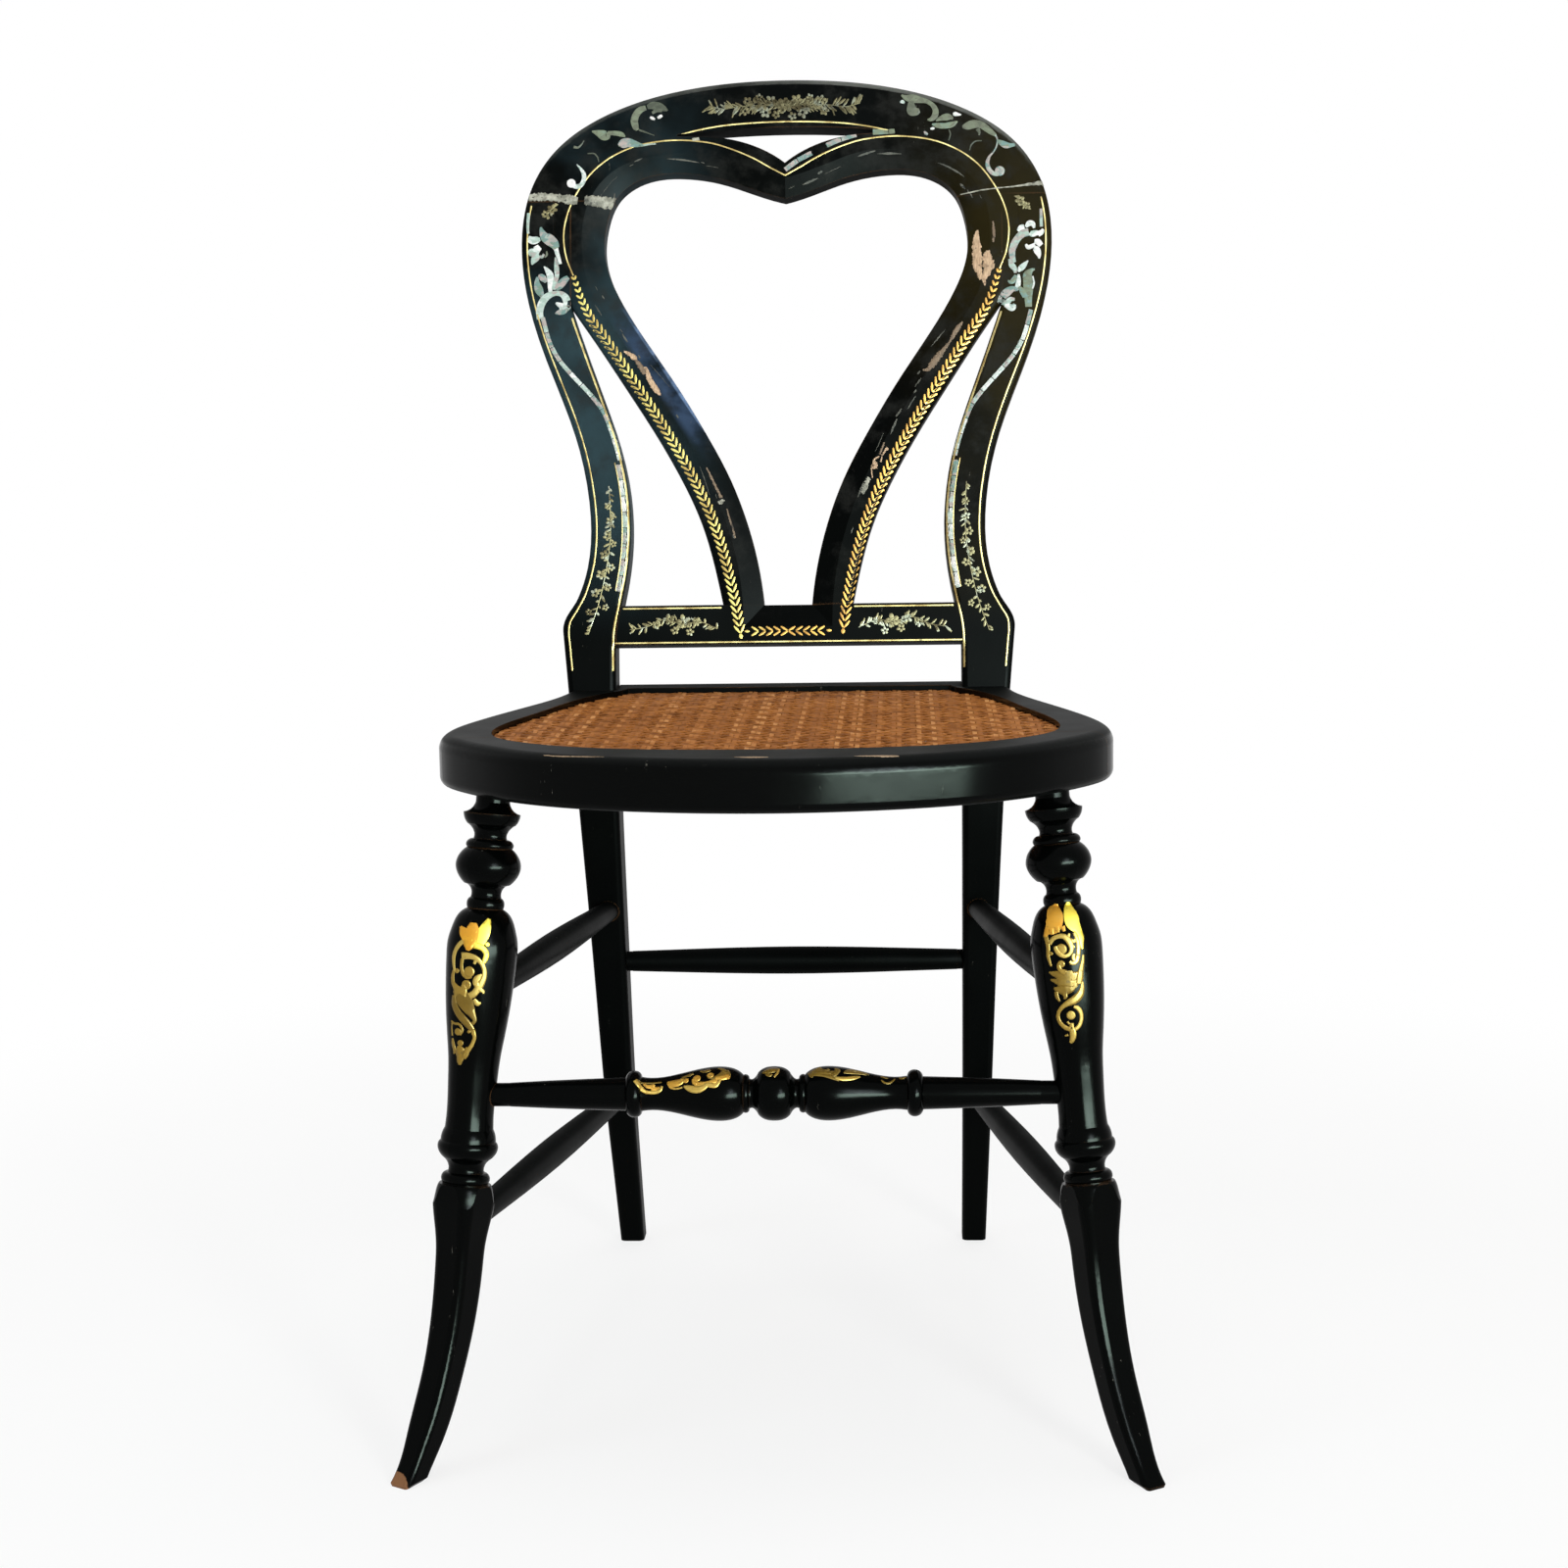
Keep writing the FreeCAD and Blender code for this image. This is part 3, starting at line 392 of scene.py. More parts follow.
def lay(bm, sheet, lift):
    # press a flat drawing on to the wood, straight along the sheet's own depth
    depth = sheet["up"].cross(sheet["across"]).normalized()
    wood = shellOf(sheet["on"])
    bm.normal_update()
    bmesh.ops.reverse_faces(bm, faces=[f for f in bm.faces if f.normal.z < 0])
    for v in bm.verts:
        spot = (sheet["start"] + sheet["across"] * v.co.x + sheet["up"] * v.co.y) * mm
        hit, facing = wood.ray_cast(spot - depth * pressing["reach"], depth, 2 * pressing["reach"])[:2]
        if hit is None:
            hit, facing = wood.find_nearest(spot)[:2]
        v.co = hit + facing * ((lift + v.co.z) * mm)


def edgeAt(name, height, outside):
    # how far from the middle a right-hand board's edge stands, at a height on the board sheet
    depth = boardSheet["up"].cross(boardSheet["across"]) * boardSheet["skin"]
    spot = (boardSheet["start"] + boardSheet["up"] * height + depth) * mm
    way = Vector((-1 if outside else 1, 0, 0))
    start = spot + Vector((pressing["beside"] if outside else 0, 0, 0))
    return shellOf((name,)).ray_cast(start, way)[0].x / mm


def followEdge(name, outside, top, low, inset, step=9.0):
    # a line that keeps an even distance from a board's edge
    count = round((top - low) / step)
    heights = [top + (low - top) * i / count for i in range(count + 1)]
    rim = [Vector((edgeAt(name, h, outside), h)) for h in heights]
    line = []
    for i, spot in enumerate(rim):
        way = (rim[min(i + 1, count)] - rim[max(i - 1, 0)]).normalized()
        inwards = Vector((way.y, -way.x)) * (inset if outside else -inset)
        line.append(tuple(spot + inwards))
    return line


def smooth(points, steps):
    # a curve through (across, up, width) points
    rows = [Vector(p) for p in points]
    rows = [rows[0] * 2 - rows[1]] + rows + [rows[-1] * 2 - rows[-2]]
    path = []
    for a, b, c, d in zip(rows, rows[1:], rows[2:], rows[3:]):
        for i in range(steps):
            t = i / steps
            path.append(0.5 * (2 * b + (c - a) * t + (2 * a - 5 * b + 4 * c - d) * t * t
                               + (3 * b - a - 3 * c + d) * t * t * t))
    return path + [rows[-2]]


thinnest = 0.2


def ribbon(bm, path, tone=None, rise=0.0):
    # a flat stroke: an edge drawn along a path of (across, up, width)
    edge, last, made = None, None, []
    for i, spot in enumerate(path):
        way = (path[min(i + 1, len(path) - 1)].xy - path[max(i - 1, 0)].xy).normalized()
        side = Vector((-way.y, way.x, 0)) * max(spot.z, thinnest) / 2
        middle = Vector((spot.x, spot.y, rise))
        ends = (middle - side, middle + side)
        if edge is None:
            edge = bm.edges.new([bm.verts.new(p) for p in ends])
            made += edge.verts
        else:
            geom = bmesh.ops.extrude_edge_only(bm, edges=[edge])["geom"]
            fresh = [g for g in geom if isinstance(g, bmesh.types.BMVert)]
            for v in fresh:
                v.co = ends[0] if (v.co - last[0]).length < (v.co - last[1]).length else ends[1]
            edge = next(g for g in geom if isinstance(g, bmesh.types.BMEdge) and set(g.verts) == set(fresh))
            made += fresh
        last = ends
    if tone is not None:
        layer = bm.verts.layers.float["tone"]
        for v in made:
            v[layer] = tone


def stroke(bm, points, tone, rise):
    # one point is a round spot as wide as its width, more are a brush stroke
    if len(points) > 1:
        return ribbon(bm, smooth(points, 6), tone, rise)
    x, y, width = points[0]
    made = bmesh.ops.create_circle(bm, cap_ends=True, cap_tris=True, segments=14, radius=width / 2,
                                   matrix=Matrix.Translation((x, y, rise)))
    for v in made["verts"]:
        v[bm.verts.layers.float["tone"]] = tone


hexagonFlat = 0.866   # from the middle of a six-sided circle of radius one to the middle of a side


def leaf(bm, spot, angle, length, width):
    # a pointed leaf that starts at spot and points along angle
    shape = Matrix.Diagonal((length / 2, width / 2 / hexagonFlat, 1, 1))
    place = (Matrix.Translation((spot[0], spot[1], 0)) @ Matrix.Rotation(angle, 4, "Z")
             @ Matrix.Translation((length / 2, 0, 0)) @ shape)
    bmesh.ops.create_circle(bm, cap_ends=True, segments=6, radius=1.0, matrix=place)


# shares of a bloom's size, and the angle within which its first petal stands
petal = {"turn": 6.28, "start": 0.22, "length": (0.75, 1.0), "width": 0.62}


def blossom(bm, spot, size, petals=5):
    first = dice.uniform(0, petal["turn"])
    near = size * petal["start"]
    for i in range(petals):
        angle = first + 2 * math.pi * i / petals
        start = (spot[0] + math.cos(angle) * near, spot[1] + math.sin(angle) * near)
        leaf(bm, start, angle, size * dice.uniform(*petal["length"]), size * petal["width"])


def along(path, gap):
    # spots at even distances down a path, with the way it runs
    rows, left = [], 0.0
    for a, b in zip(path, path[1:]):
        run = (b.xy - a.xy).length
        while left <= run:
            rows.append((a.xy.lerp(b.xy, left / run), (b.xy - a.xy).normalized()))
            left += gap
        left -= run
    return rows


def bothSides(points, width=1.0):
    return [[(side * x, y, width) for x, y in points] for side in (1, -1)]


def pieceFrom(bm, name, sheet, material, lift=0.14, thick=0.3, cuts=0):
    if cuts:   # wide strokes need more points to follow round wood
        bmesh.ops.subdivide_edges(bm, edges=bm.edges[:], cuts=cuts, use_grid_fill=True)
    if sheet:
        lay(bm, sheet, lift)
    mesh = bpy.data.meshes.new(name)
    bm.to_mesh(mesh)
    bm.free()
    mesh.materials.append(material)
    for face in mesh.polygons:
        face.use_smooth = True
    piece = bpy.data.objects.new(name, mesh)
    scene.collection.objects.link(piece)
    body = piece.modifiers.new("body", "SOLIDIFY")
    body.thickness, body.offset = thick * mm, -1.0
    flat = piece.modifiers.new("flat", "WEIGHTED_NORMAL")
    flat.weight = 100
    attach(piece, "root")
    print("made", name)
    return piece


# gold stringing: the lines beside a board's edge follow that edge, the others are drawn for the right half
stringing = {
    "width": 0.95, "bold": 1.2, "fine": 0.57,
    # from and to a height, and how far in from the edge
    "outer": (350, 14, 4.4), "inner": (268, 14, 1.7), "band": (164, 70, 6.2),
    "ring": ((0, 368), (11, 374), (23, 381), (39, 388), (56, 393), (80, 395), (104, 392), (122, 385),
             (135, 376), (144, 366), (152, 353), (157, 340), (159, 326), (157, 311), (152, 298)),
    "crest": ((0, 407), (21, 406.5), (43, 405), (62, 402), (74, 399)),
    "railTop": ((47, 58), (82, 58), (117, 58)), "railLow": ((0, 33.5), (62, 33.5), (123, 33.5)),
}


def makeStringing():
    bm = bmesh.new()
    lines = [(stringing[name], stringing["width"]) for name in ("ring", "crest", "railTop", "railLow")]
    for name, outside, width in (("outer", True, "width"), ("inner", False, "bold"), ("band", False, "fine")):
        lines.append((followEdge("right_back_post", outside, *stringing[name]), stringing[width]))
    for points, width in lines:
        for half in bothSides(points, width):
            ribbon(bm, smooth(half, 4))
    pieceFrom(bm, "gilt_stringing", boardSheet, gilding("line"))


# laurel bands down the heart and along the foot of the back
laurel = {"edge": (262, 72, 6.6), "above": ((151, 295), (146, 280)), "below": ((39, 58), (36, 38)),
          "gap": 4.9, "length": 7.4, "width": 1.5, "spread": 32.0, "first": 0.45, "growth": 0.06,
          "drift": 2.9, "tip": (4.0, 2.4), "railGap": 5.2, "railReach": 27.0, "railHeight": 41.0,
          "railLeaf": (6.4, 1.4), "railTip": (4.0, 1.6)}


def makeLaurel():
    bm = bmesh.new()
    spread = math.radians(laurel["spread"])
    down = followEdge("right_heart_splat", True, *laurel["edge"])
    top = laurel["above"][0][1]
    for half in bothSides([*laurel["above"], *down, *laurel["below"]]):
        half = [(x + laurel["drift"] * (1 - y / top), y, wide) for x, y, wide in half]
        rows = along(smooth(half, 6), laurel["gap"])
        for i, (spot, way) in enumerate(rows):
            up = math.atan2(-way.y, -way.x)
            size = min(1.0, laurel["first"] + i * laurel["growth"])
            for turn in (spread, -spread):
                leaf(bm, spot, up + turn, laurel["length"] * size, laurel["width"])
        spot, way = rows[-1]
        leaf(bm, spot, math.atan2(way.y, way.x), *laurel["tip"])
    for side in (1, -1):
        out = 0.0 if side > 0 else math.pi
        for i in range(int(laurel["railReach"] / laurel["railGap"])):
            spot = (side * i * laurel["railGap"], laurel["railHeight"])
            for turn in (spread, -spread):
                leaf(bm, spot, out + turn, *laurel["railLeaf"])
        leaf(bm, (side * laurel["railReach"], laurel["railHeight"]), out, *laurel["railTip"])
    pieceFrom(bm, "gilt_laurel", boardSheet, gilding("leaf"))


# sprays of small flowers: stem, then (across, up, size) for each bloom
sprays = {
    "stile": {"stem": ((127, 146), (126, 128), (126, 110), (128, 92), (131, 76), (135, 60), (142, 40)),
              "blooms": ((127, 132, 2.6), (126, 121, 2.8), (128, 110, 2.9), (124, 104, 2.4), (130, 96, 3.2),
                         (126, 88, 2.8), (133, 82, 3.4), (128, 74, 2.6), (137, 69, 3.0), (130, 60, 2.4),
                         (141, 56, 2.2)),
              "leaves": 40, "reach": 5.5},
    "rail": {"stem": ((50, 43), (62, 48), (75, 47), (88, 50), (100, 45), (112, 43)),
             "blooms": ((64, 48, 3.2), (74, 47.5, 4.8), (84, 50, 3.6), (80, 41.5, 2.8), (93, 46, 3.2),
                        (69, 41, 2.6)),
             "leaves": 34, "reach": 6.4},
    "crest": {"stem": ((0, 418), (16, 419), (32, 418.5), (44, 417), (54, 419.5)),
              "blooms": ((1.5, 418, 5.2), (9, 422, 4.0), (13, 414, 4.0), (20, 419, 5.0), (27, 422, 3.2),
                         (28, 414.5, 3.2), (6, 411.5, 3.0), (18, 425, 2.6)),
              "leaves": 46, "reach": 9.0},
    "shoulder": {"stem": ((163, 350), (168, 346), (172, 341)), "blooms": ((167, 346.5, 3.6), (172, 343, 2.6)),
                 "leaves": 10, "reach": 4.4},
}
# how the stems and leaves of every spray are drawn, and how far its blooms stray
sprig = {"stem": 0.55, "gap": 0.4, "jitter": 0.8, "turn": (0.5, 1.2), "share": (0.5, 1.0),
         "width": (1.0, 1.7), "stray": 0.7}


def makeSprays():
    bm = bmesh.new()
    stray = sprig["stray"]
    for spray in sprays.values():
        for stem in bothSides(spray["stem"], sprig["stem"]):
            stem = smooth(stem, 4)
            ribbon(bm, stem)
            rows = along(stem, sprig["gap"])
            for i in range(spray["leaves"]):
                share = (i + dice.random() * sprig["jitter"]) / spray["leaves"]
                spot, way = rows[int(len(rows) * share)]
                turn = math.atan2(way.y, way.x) + dice.choice((-1, 1)) * dice.uniform(*sprig["turn"])
                length = spray["reach"] * dice.uniform(*sprig["share"])
                leaf(bm, spot, turn, length, dice.uniform(*sprig["width"]))
        for side in (1, -1):
            for x, y, size in spray["blooms"]:
                spot = (side * x + dice.uniform(-stray, stray), y + dice.uniform(-stray, stray))
                blossom(bm, spot, size)
    pieceFrom(bm, "gilt_sprays", boardSheet, gilding("spray"))


# pearl inlay cut with a fretsaw: the tone of each slip, then (across, up, width) along it
leftStilePearl = (
    (0.82, (-184.5, 325.5, 4), (-181, 324, 5.5), (-177.5, 324.5, 4.5), (-175.8, 325, 2)),
    (0.95, (-179, 320, 3.5), (-177.8, 318, 4.6), (-175.5, 316.5, 3)),
    (0.76, (-184, 314, 3), (-182, 315, 6), (-179, 315.5, 5), (-176.5, 315, 2)),
    (0.72, (-181.8, 306.5, 1), (-180.6, 309, 4), (-178.5, 312, 5.5), (-176.5, 313.5, 3)),
    (0.62, (-176, 312.5, 2), (-174.5, 311.8, 2), (-173, 314, 1.6)),
    (0.34, (-172.5, 311.5, 1), (-171, 313.5, 1.4), (-171.2, 316, 1)),
    (0.56, (-175.3, 333.5, 1.4), (-174.6, 330.5, 3.5), (-172.5, 326.5, 6.5), (-169.5, 324.5, 8),
     (-166, 321.5, 7), (-164, 318, 4.5)),
    (0.9, (-164.5, 318, 3.4), (-163.6, 314.5, 3), (-162.3, 310.5, 2.6), (-161.4, 306.5, 2.4)),
    (0.9, (-173, 305, 0.8), (-171, 302.5, 3), (-168.8, 299, 4.8), (-168.3, 295, 4.6), (-168.8, 290, 3),
     (-168.3, 286, 2.8)),
    (0.6, (-177, 298.5, 1.5), (-175, 297.5, 4.5), (-172.8, 295.5, 4.2), (-171.5, 293.5, 2)),
    (0.5, (-177.8, 297.5, 1.5), (-178, 293, 4), (-176.8, 288.5, 6), (-175, 284.5, 4), (-174.6, 282, 1)),
    (0.66, (-164.8, 311.5, 1), (-164, 304, 3.4), (-163.8, 298, 3.2), (-165.2, 293, 3.2), (-166, 288, 3)),
    (0.56, (-155.6, 297, 3), (-158.5, 294.5, 5), (-161.8, 291, 5.5), (-164.5, 288.5, 3)),
    (0.74, (-175.6, 267, 5), (-176.2, 272, 5), (-174.8, 278, 5.4), (-171, 283, 5), (-165.5, 285.3, 3.6),
     (-160.5, 284.8, 4), (-157.3, 281.5, 5.4), (-156.6, 277, 5.5), (-158.5, 274, 5.5), (-162, 273.5, 4)),
    (0.86, (-164.5, 278.5, 1.5), (-162, 277, 3.4), (-159.5, 276, 4)),
    (0.52, (-165, 270.5, 1), (-162.5, 271.5, 3.4), (-158.8, 272, 3.4), (-156, 274, 2)),
    (0.76, (-184, 344, 2.2), (-184.4, 338, 2.2), (-184.6, 333, 2.0), (-184.3, 329, 1.8)),
)
rightStilePearl = (
    (0.95, (165.5, 324.5, 2), (167.5, 326.8, 4), (170, 327.5, 3.5)),
    (0.88, (171, 327.5, 2), (173.5, 330, 4), (176, 329.5, 3.6), (177, 326.5, 1.5)),
    (0.8, (174, 323.5, 3), (175.5, 322.5, 4.5), (178, 323, 4), (180, 323, 3)),
    (0.98, (179.5, 322, 4), (182, 323.5, 3.6), (183.5, 325.5, 2)),
    (0.95, (177, 317, 3), (179.5, 316.5, 4.5), (181.8, 314, 3.6)),
    (0.97, (176.5, 312, 3), (178.4, 311, 5), (180, 307.5, 3.5), (180.3, 304.5, 1)),
    (0.93, (170.8, 315, 1.5), (172.5, 312.8, 3), (175, 313.5, 3), (177.5, 314.5, 3)),
    (0.62, (162.5, 302, 3), (161.4, 305.5, 4), (161.2, 310.5, 4.6), (162.8, 315.5, 5), (165.5, 319.8, 5),
     (169, 322.8, 5.6), (173, 323.8, 5.4)),
    (0.7, (158.8, 304.5, 1), (160.6, 300.5, 4), (162.8, 297.5, 3.5), (163.3, 294.5, 2)),
    (0.9, (165.4, 295.3, 1.2), (167, 297.5, 4), (169.5, 300, 3.6), (172.3, 303.2, 0.8)),
    (0.52, (157.8, 289, 0.8), (160, 288, 3), (162, 289.5, 3.6), (163.6, 293, 2)),
    (0.88, (165.5, 293.5, 1.5), (165.6, 289.5, 3), (164.8, 285, 3.6), (163.6, 282, 2)),
    (0.42, (177, 297, 1.2), (174.5, 296, 3), (172, 293, 6.2), (172, 288, 6.5), (172.3, 283, 6.8),
     (172.2, 277, 5.4), (172.3, 270, 4.6)),
    (0.44, (165.5, 284.5, 1.5), (168, 281.5, 4), (170, 277, 3.5)),
    (0.9, (175.5, 292, 1), (176.3, 287, 1.4), (175.3, 283, 1)),
    (0.57, (165, 282.5, 2), (161, 283, 4.2), (157, 280.5, 6), (153.5, 277, 4.6), (151, 273.5, 2)),
    (0.7, (153.5, 274.5, 3), (156.5, 273, 4), (159.5, 275.5, 3.5), (162.5, 275.5, 2)),
    (0.82, (155.5, 271.5, 2), (158, 270.5, 4), (161, 269.5, 4.5), (162.6, 272, 2)),
    (0.62, (182, 340.5, 2), (182, 334, 2.2), (182, 327.5, 2.2)),
)
leftCrestPearl = (
    (0.34, (-99.5, 419, 3.5), (-103.5, 417.5, 4.6), (-106.5, 414, 5), (-107.8, 409.5, 5.2),
     (-106.8, 405, 4.4), (-105.5, 402.8, 2.4)),
    (0.2, (-104.5, 402.8, 1.4), (-99, 400.8, 1), (-93.5, 398.6, 0.5)),
    (0.2, (-98.5, 419.5, 3), (-94.5, 420.5, 5.5), (-90, 419.5, 6), (-86.5, 418, 4), (-84, 416.5, 1.5)),
    (0.24, (-95, 415, 2), (-91.5, 417, 3), (-88, 416.4, 2)),
    (1.0, (-96.5, 412, 1.4), (-94.8, 411.2, 2.2), (-93, 410.3, 1.2)),
    (0.98, (-91, 411.2, 1.6), (-89.4, 412.2, 2.4), (-87.8, 413.2, 1.6)),
    (0.38, (-138.3, 402.5, 1), (-134, 401.2, 4.5), (-130.5, 399.8, 7), (-128, 399, 6), (-126, 400.5, 3)),
    (0.36, (-127, 401, 2.8), (-121, 400.8, 3.4), (-117, 399.8, 3.4), (-114.5, 398.2, 1.2)),
    (0.53, (-119.3, 392, 2), (-116.5, 393, 6.5), (-112.5, 393.8, 6.6), (-107, 392.6, 4.5),
     (-101.5, 391.5, 1.6)),
    (0.75, (-101.5, 391.6, 1.4), (-97, 392.3, 1.2), (-92.5, 392.6, 0.8)),
    (0.26, (-151.5, 391.5, 2), (-148.5, 391, 1.5), (-146, 393, 1), (-144, 396, 0.7)),
    (0.2, (-141.5, 386.5, 0.8), (-137, 386.3, 1), (-134.3, 383.5, 1), (-133.5, 380, 0.6)),
    (0.84, (-149.3, 378.6, 0.6), (-146.5, 375.5, 1.8), (-144.3, 371.5, 3), (-144.2, 367.5, 3.2),
     (-146.3, 363.6, 3.2), (-150, 362.6, 3.4), (-153.5, 364.8, 3)),
    (1.0, (-153.3, 365, 6.4)),
)
rightCrestPearl = (
    (0.34, (83.5, 424.5, 1.2), (87, 422.5, 4), (91.5, 421.8, 6), (96.5, 420.8, 4.6), (101.5, 419.6, 3.2),
     (105.5, 417, 3.2), (107.8, 413, 4), (107.2, 409, 4.4), (104.5, 406.5, 3), (102, 406.3, 1)),
    (0.28, (90.5, 420, 3.5), (90.5, 416, 6), (91.5, 413.5, 8.5), (94, 412.5, 6), (96.5, 413, 3)),
    (0.75, (82.6, 419.3, 1), (84.2, 419.6, 2.6), (85.6, 418.6, 1.2)),
    (0.36, (108, 405.3, 1), (111.5, 407, 3.4), (115.5, 408, 5), (118.5, 407.5, 3.5), (120, 406.2, 1)),
    (0.4, (105.2, 403, 1.2), (109, 402, 3.6), (114.5, 401.6, 4), (119.5, 402.6, 4), (123.3, 404.6, 1)),
    (0.95, (120.2, 410, 1.5), (121.8, 410, 3), (124, 409.6, 2), (126, 409.4, 0.8)),
    (0.85, (104, 399.5, 1), (105.6, 399.8, 2), (107, 400, 1)),
    (0.62, (99.6, 397.8, 1), (100.8, 396.4, 2), (102, 395.4, 1.4)),
    (0.32, (126.8, 400.5, 2), (130.5, 401.2, 5.5), (135, 402.4, 6), (140, 401.8, 5), (144.5, 398.6, 4.4),
     (148, 395.8, 3.4), (150.5, 394, 2)),
    (0.28, (137.5, 399, 3), (138.8, 396.5, 2), (138.5, 394.3, 0.8)),
    (0.6, (150.2, 394.2, 1.4), (151.5, 391, 1), (151, 386.5, 1), (149, 382.5, 1), (146, 379, 1.6),
     (144.5, 375.5, 2.6), (144.5, 372, 3), (146.3, 368.4, 3), (149, 366.3, 3), (152, 366, 3)),
    (0.58, (153, 368.2, 7)),
    (0.51, (151.5, 390.5, 1), (154, 388.8, 3.5), (157.5, 386.8, 4.6), (161, 386.6, 3), (164, 387, 2)),
    (0.2, (117.2, 399, 0.8), (118.2, 395.5, 1), (117, 391, 0.7)),
    (0.18, (131.8, 383.5, 0.6), (133, 387.5, 1), (136, 390, 0.9), (140.5, 390.3, 0.6)),
)
# strips cut from straight pearl: stems, edge banding and the few blocks left on one lobe
pearlStrips = {
    "stem": ((174, 268), (169, 250), (162, 237), (152, 225), (140, 212), (131, 200), (126, 188), (122, 176),
             (119, 164)),
    "lobe": ((0, 372), (10, 379), (24, 386), (38, 392.5), (55, 397), (79, 398.5)), "band": (162, 68, 3.9),
    "lobeTones": (0.55, 0.50, 0.0, 0.52, 0.58, 0.0, 0.40, 0.38), "tones": (0.48, 0.95),
    "stemWidth": 3.0, "bandWidth": 3.8, "lobeWidth": 3.4, "length": 11.5, "gap": 0.5, "lift": 0.13,
    "layer": 0.004,
}


def makeStrip(bm, half, width, tones=None):
    rows = along(smooth(half, 8), pearlStrips["gap"])
    count = int(pearlStrips["length"] / pearlStrips["gap"])
    for n, first in enumerate(range(0, len(rows) - 3, count)):
        block = rows[first:first + count]
        tone = tones[min(n, len(tones) - 1)] if tones else dice.uniform(*pearlStrips["tones"])
        if tone > 0 and len(block) > 2:
            ribbon(bm, [Vector((*spot, width)) for spot, way in block[::4] + block[-1:]], tone)


def makePearl():
    bm = bmesh.new()
    bm.verts.layers.float.new("tone")
    for slips in (leftStilePearl, rightStilePearl, leftCrestPearl, rightCrestPearl):
        for i, (tone, *points) in enumerate(slips):
            stroke(bm, points, tone, i * pearlStrips["layer"])
    band = followEdge("right_back_post", False, *pearlStrips["band"])
    for points, width in ((pearlStrips["stem"], "stemWidth"), (band, "bandWidth")):
        for half in bothSides(points):
            makeStrip(bm, half, pearlStrips[width])
    lobe = bothSides(pearlStrips["lobe"])[0]
    makeStrip(bm, lobe, pearlStrips["lobeWidth"], pearlStrips["lobeTones"])
    pieceFrom(bm, "pearl_inlay", boardSheet, motherOfPearl(), pearlStrips["lift"], cuts=1)


# gilt arabesques: the tone of each group of brush strokes, then (across, up, width) along each stroke
leftLegScroll = (
    # orange
    (0.8, ((-12, 44, 1.5), (-9.5, 41, 6), (-6, 37, 7), (-5.5, 33, 6), (-6, 30.3, 2)),
     ((-4, 47, 4), (-4, 43.5, 7.5), (-4, 38, 7.5), (-4.5, 34, 5))),
    # yellow
    (1.0, ((5, 50, 2), (4, 46, 5.5), (2.5, 41, 8), (0, 36, 8), (-1, 33, 6)), ((5.8, 34.8, 2.6),),
     ((-2, 34, 4), (3, 32.5, 3.5), (5.6, 29, 3.2), (5, 25.2, 3), (4, 23, 1.5))),
    # cream
    (0.58,
     ((-8, 36.5, 2.5), (-11, 34, 2.6), (-13.6, 30, 2.4), (-14.8, 25.5, 2.2), (-14.5, 21, 1.6),
      (-13.6, 17, 1.4)),
     ((-9.5, 26.5, 4.5), (-5.5, 27, 3.8), (-1, 26.3, 3), (2.8, 23.5, 2.6), (5, 19.5, 2.6), (5.2, 15, 3),
      (3.8, 11, 4), (2.2, 8, 4), (0, 4.6, 4), (-3, 2.5, 4)),
     ((3.6, 16.5, 1), (1.5, 14, 4), (0.5, 11.5, 4), (1.5, 9, 3)),
     ((3, 7.5, 3), (5, 6.2, 2.2), (5.4, 4.8, 0.8)), ((-0.6, 24.5, 2), (-1.2, 22.4, 1.6)),
     ((0, 1, 2), (2.2, -1.4, 3.2), (4.2, -1, 1))),
    # gold
    (0.38, ((-9, 25, 2), (-9.2, 20.5, 1.9), (-8, 16.2, 2.2), (-5.2, 14.2, 2.6), (-2.6, 15.2, 2.6)),
     ((-4, 17.5, 6.6),), ((-12, 17.2, 3),), ((-5.3, 9.4, 5.8),), ((-7.5, 9, 2.2), (-6.8, 6, 4), (-8, 3, 6)),
     ((-13.8, 18, 1.6), (-14.6, 14, 2), (-14.2, 10, 2.4), (-12, 7, 4), (-9, 4, 8)),
     ((0.3, -18, 3), (1.6, -22, 2.2), (0.8, -26, 2.2), (-1, -29.5, 2.5), (-3, -32, 3))),
    # olive
    (0.12,
     ((-12.5, 6, 4), (-9, 3, 9), (-5.5, -1, 9.5), (-2.5, -5.5, 7), (-0.2, -9, 4), (1.2, -12, 2.4),
      (-0.4, -14.6, 1.8)),
     ((-13.2, 2, 2), (-12.6, -3, 3.4), (-10, -7.6, 4.2), (-6, -11.8, 4.6), (-2.5, -15, 4.2),
      (0.3, -18, 3))),
    # tail
    (0.28, ((-2, -19.2, 2),),
     ((-14, -14, 1), (-11.5, -15.2, 1.4), (-8.8, -15.2, 1.6), (-6.8, -17, 1.5), (-6.4, -19.5, 1.7),
      (-7.8, -21.5, 2)), ((-9, -20, 4.4),), ((-7, -26.8, 3.8),),
     ((-13.2, -15, 1.2), (-13.3, -19, 0.8), (-12.7, -23, 0.9)),
     ((-12.5, -24.5, 1), (-11.8, -28, 2), (-10.6, -32, 1.8), (-11, -34, 0.8)),
     ((-8, -28.5, 2), (-7, -31.5, 6.5), (-6.5, -35, 5), (-6.8, -38, 3.6), (-6.5, -40.2, 1.5)),
     ((-2.2, -29, 2), (-3.2, -32.5, 4), (-4.2, -36, 2.4))),
)
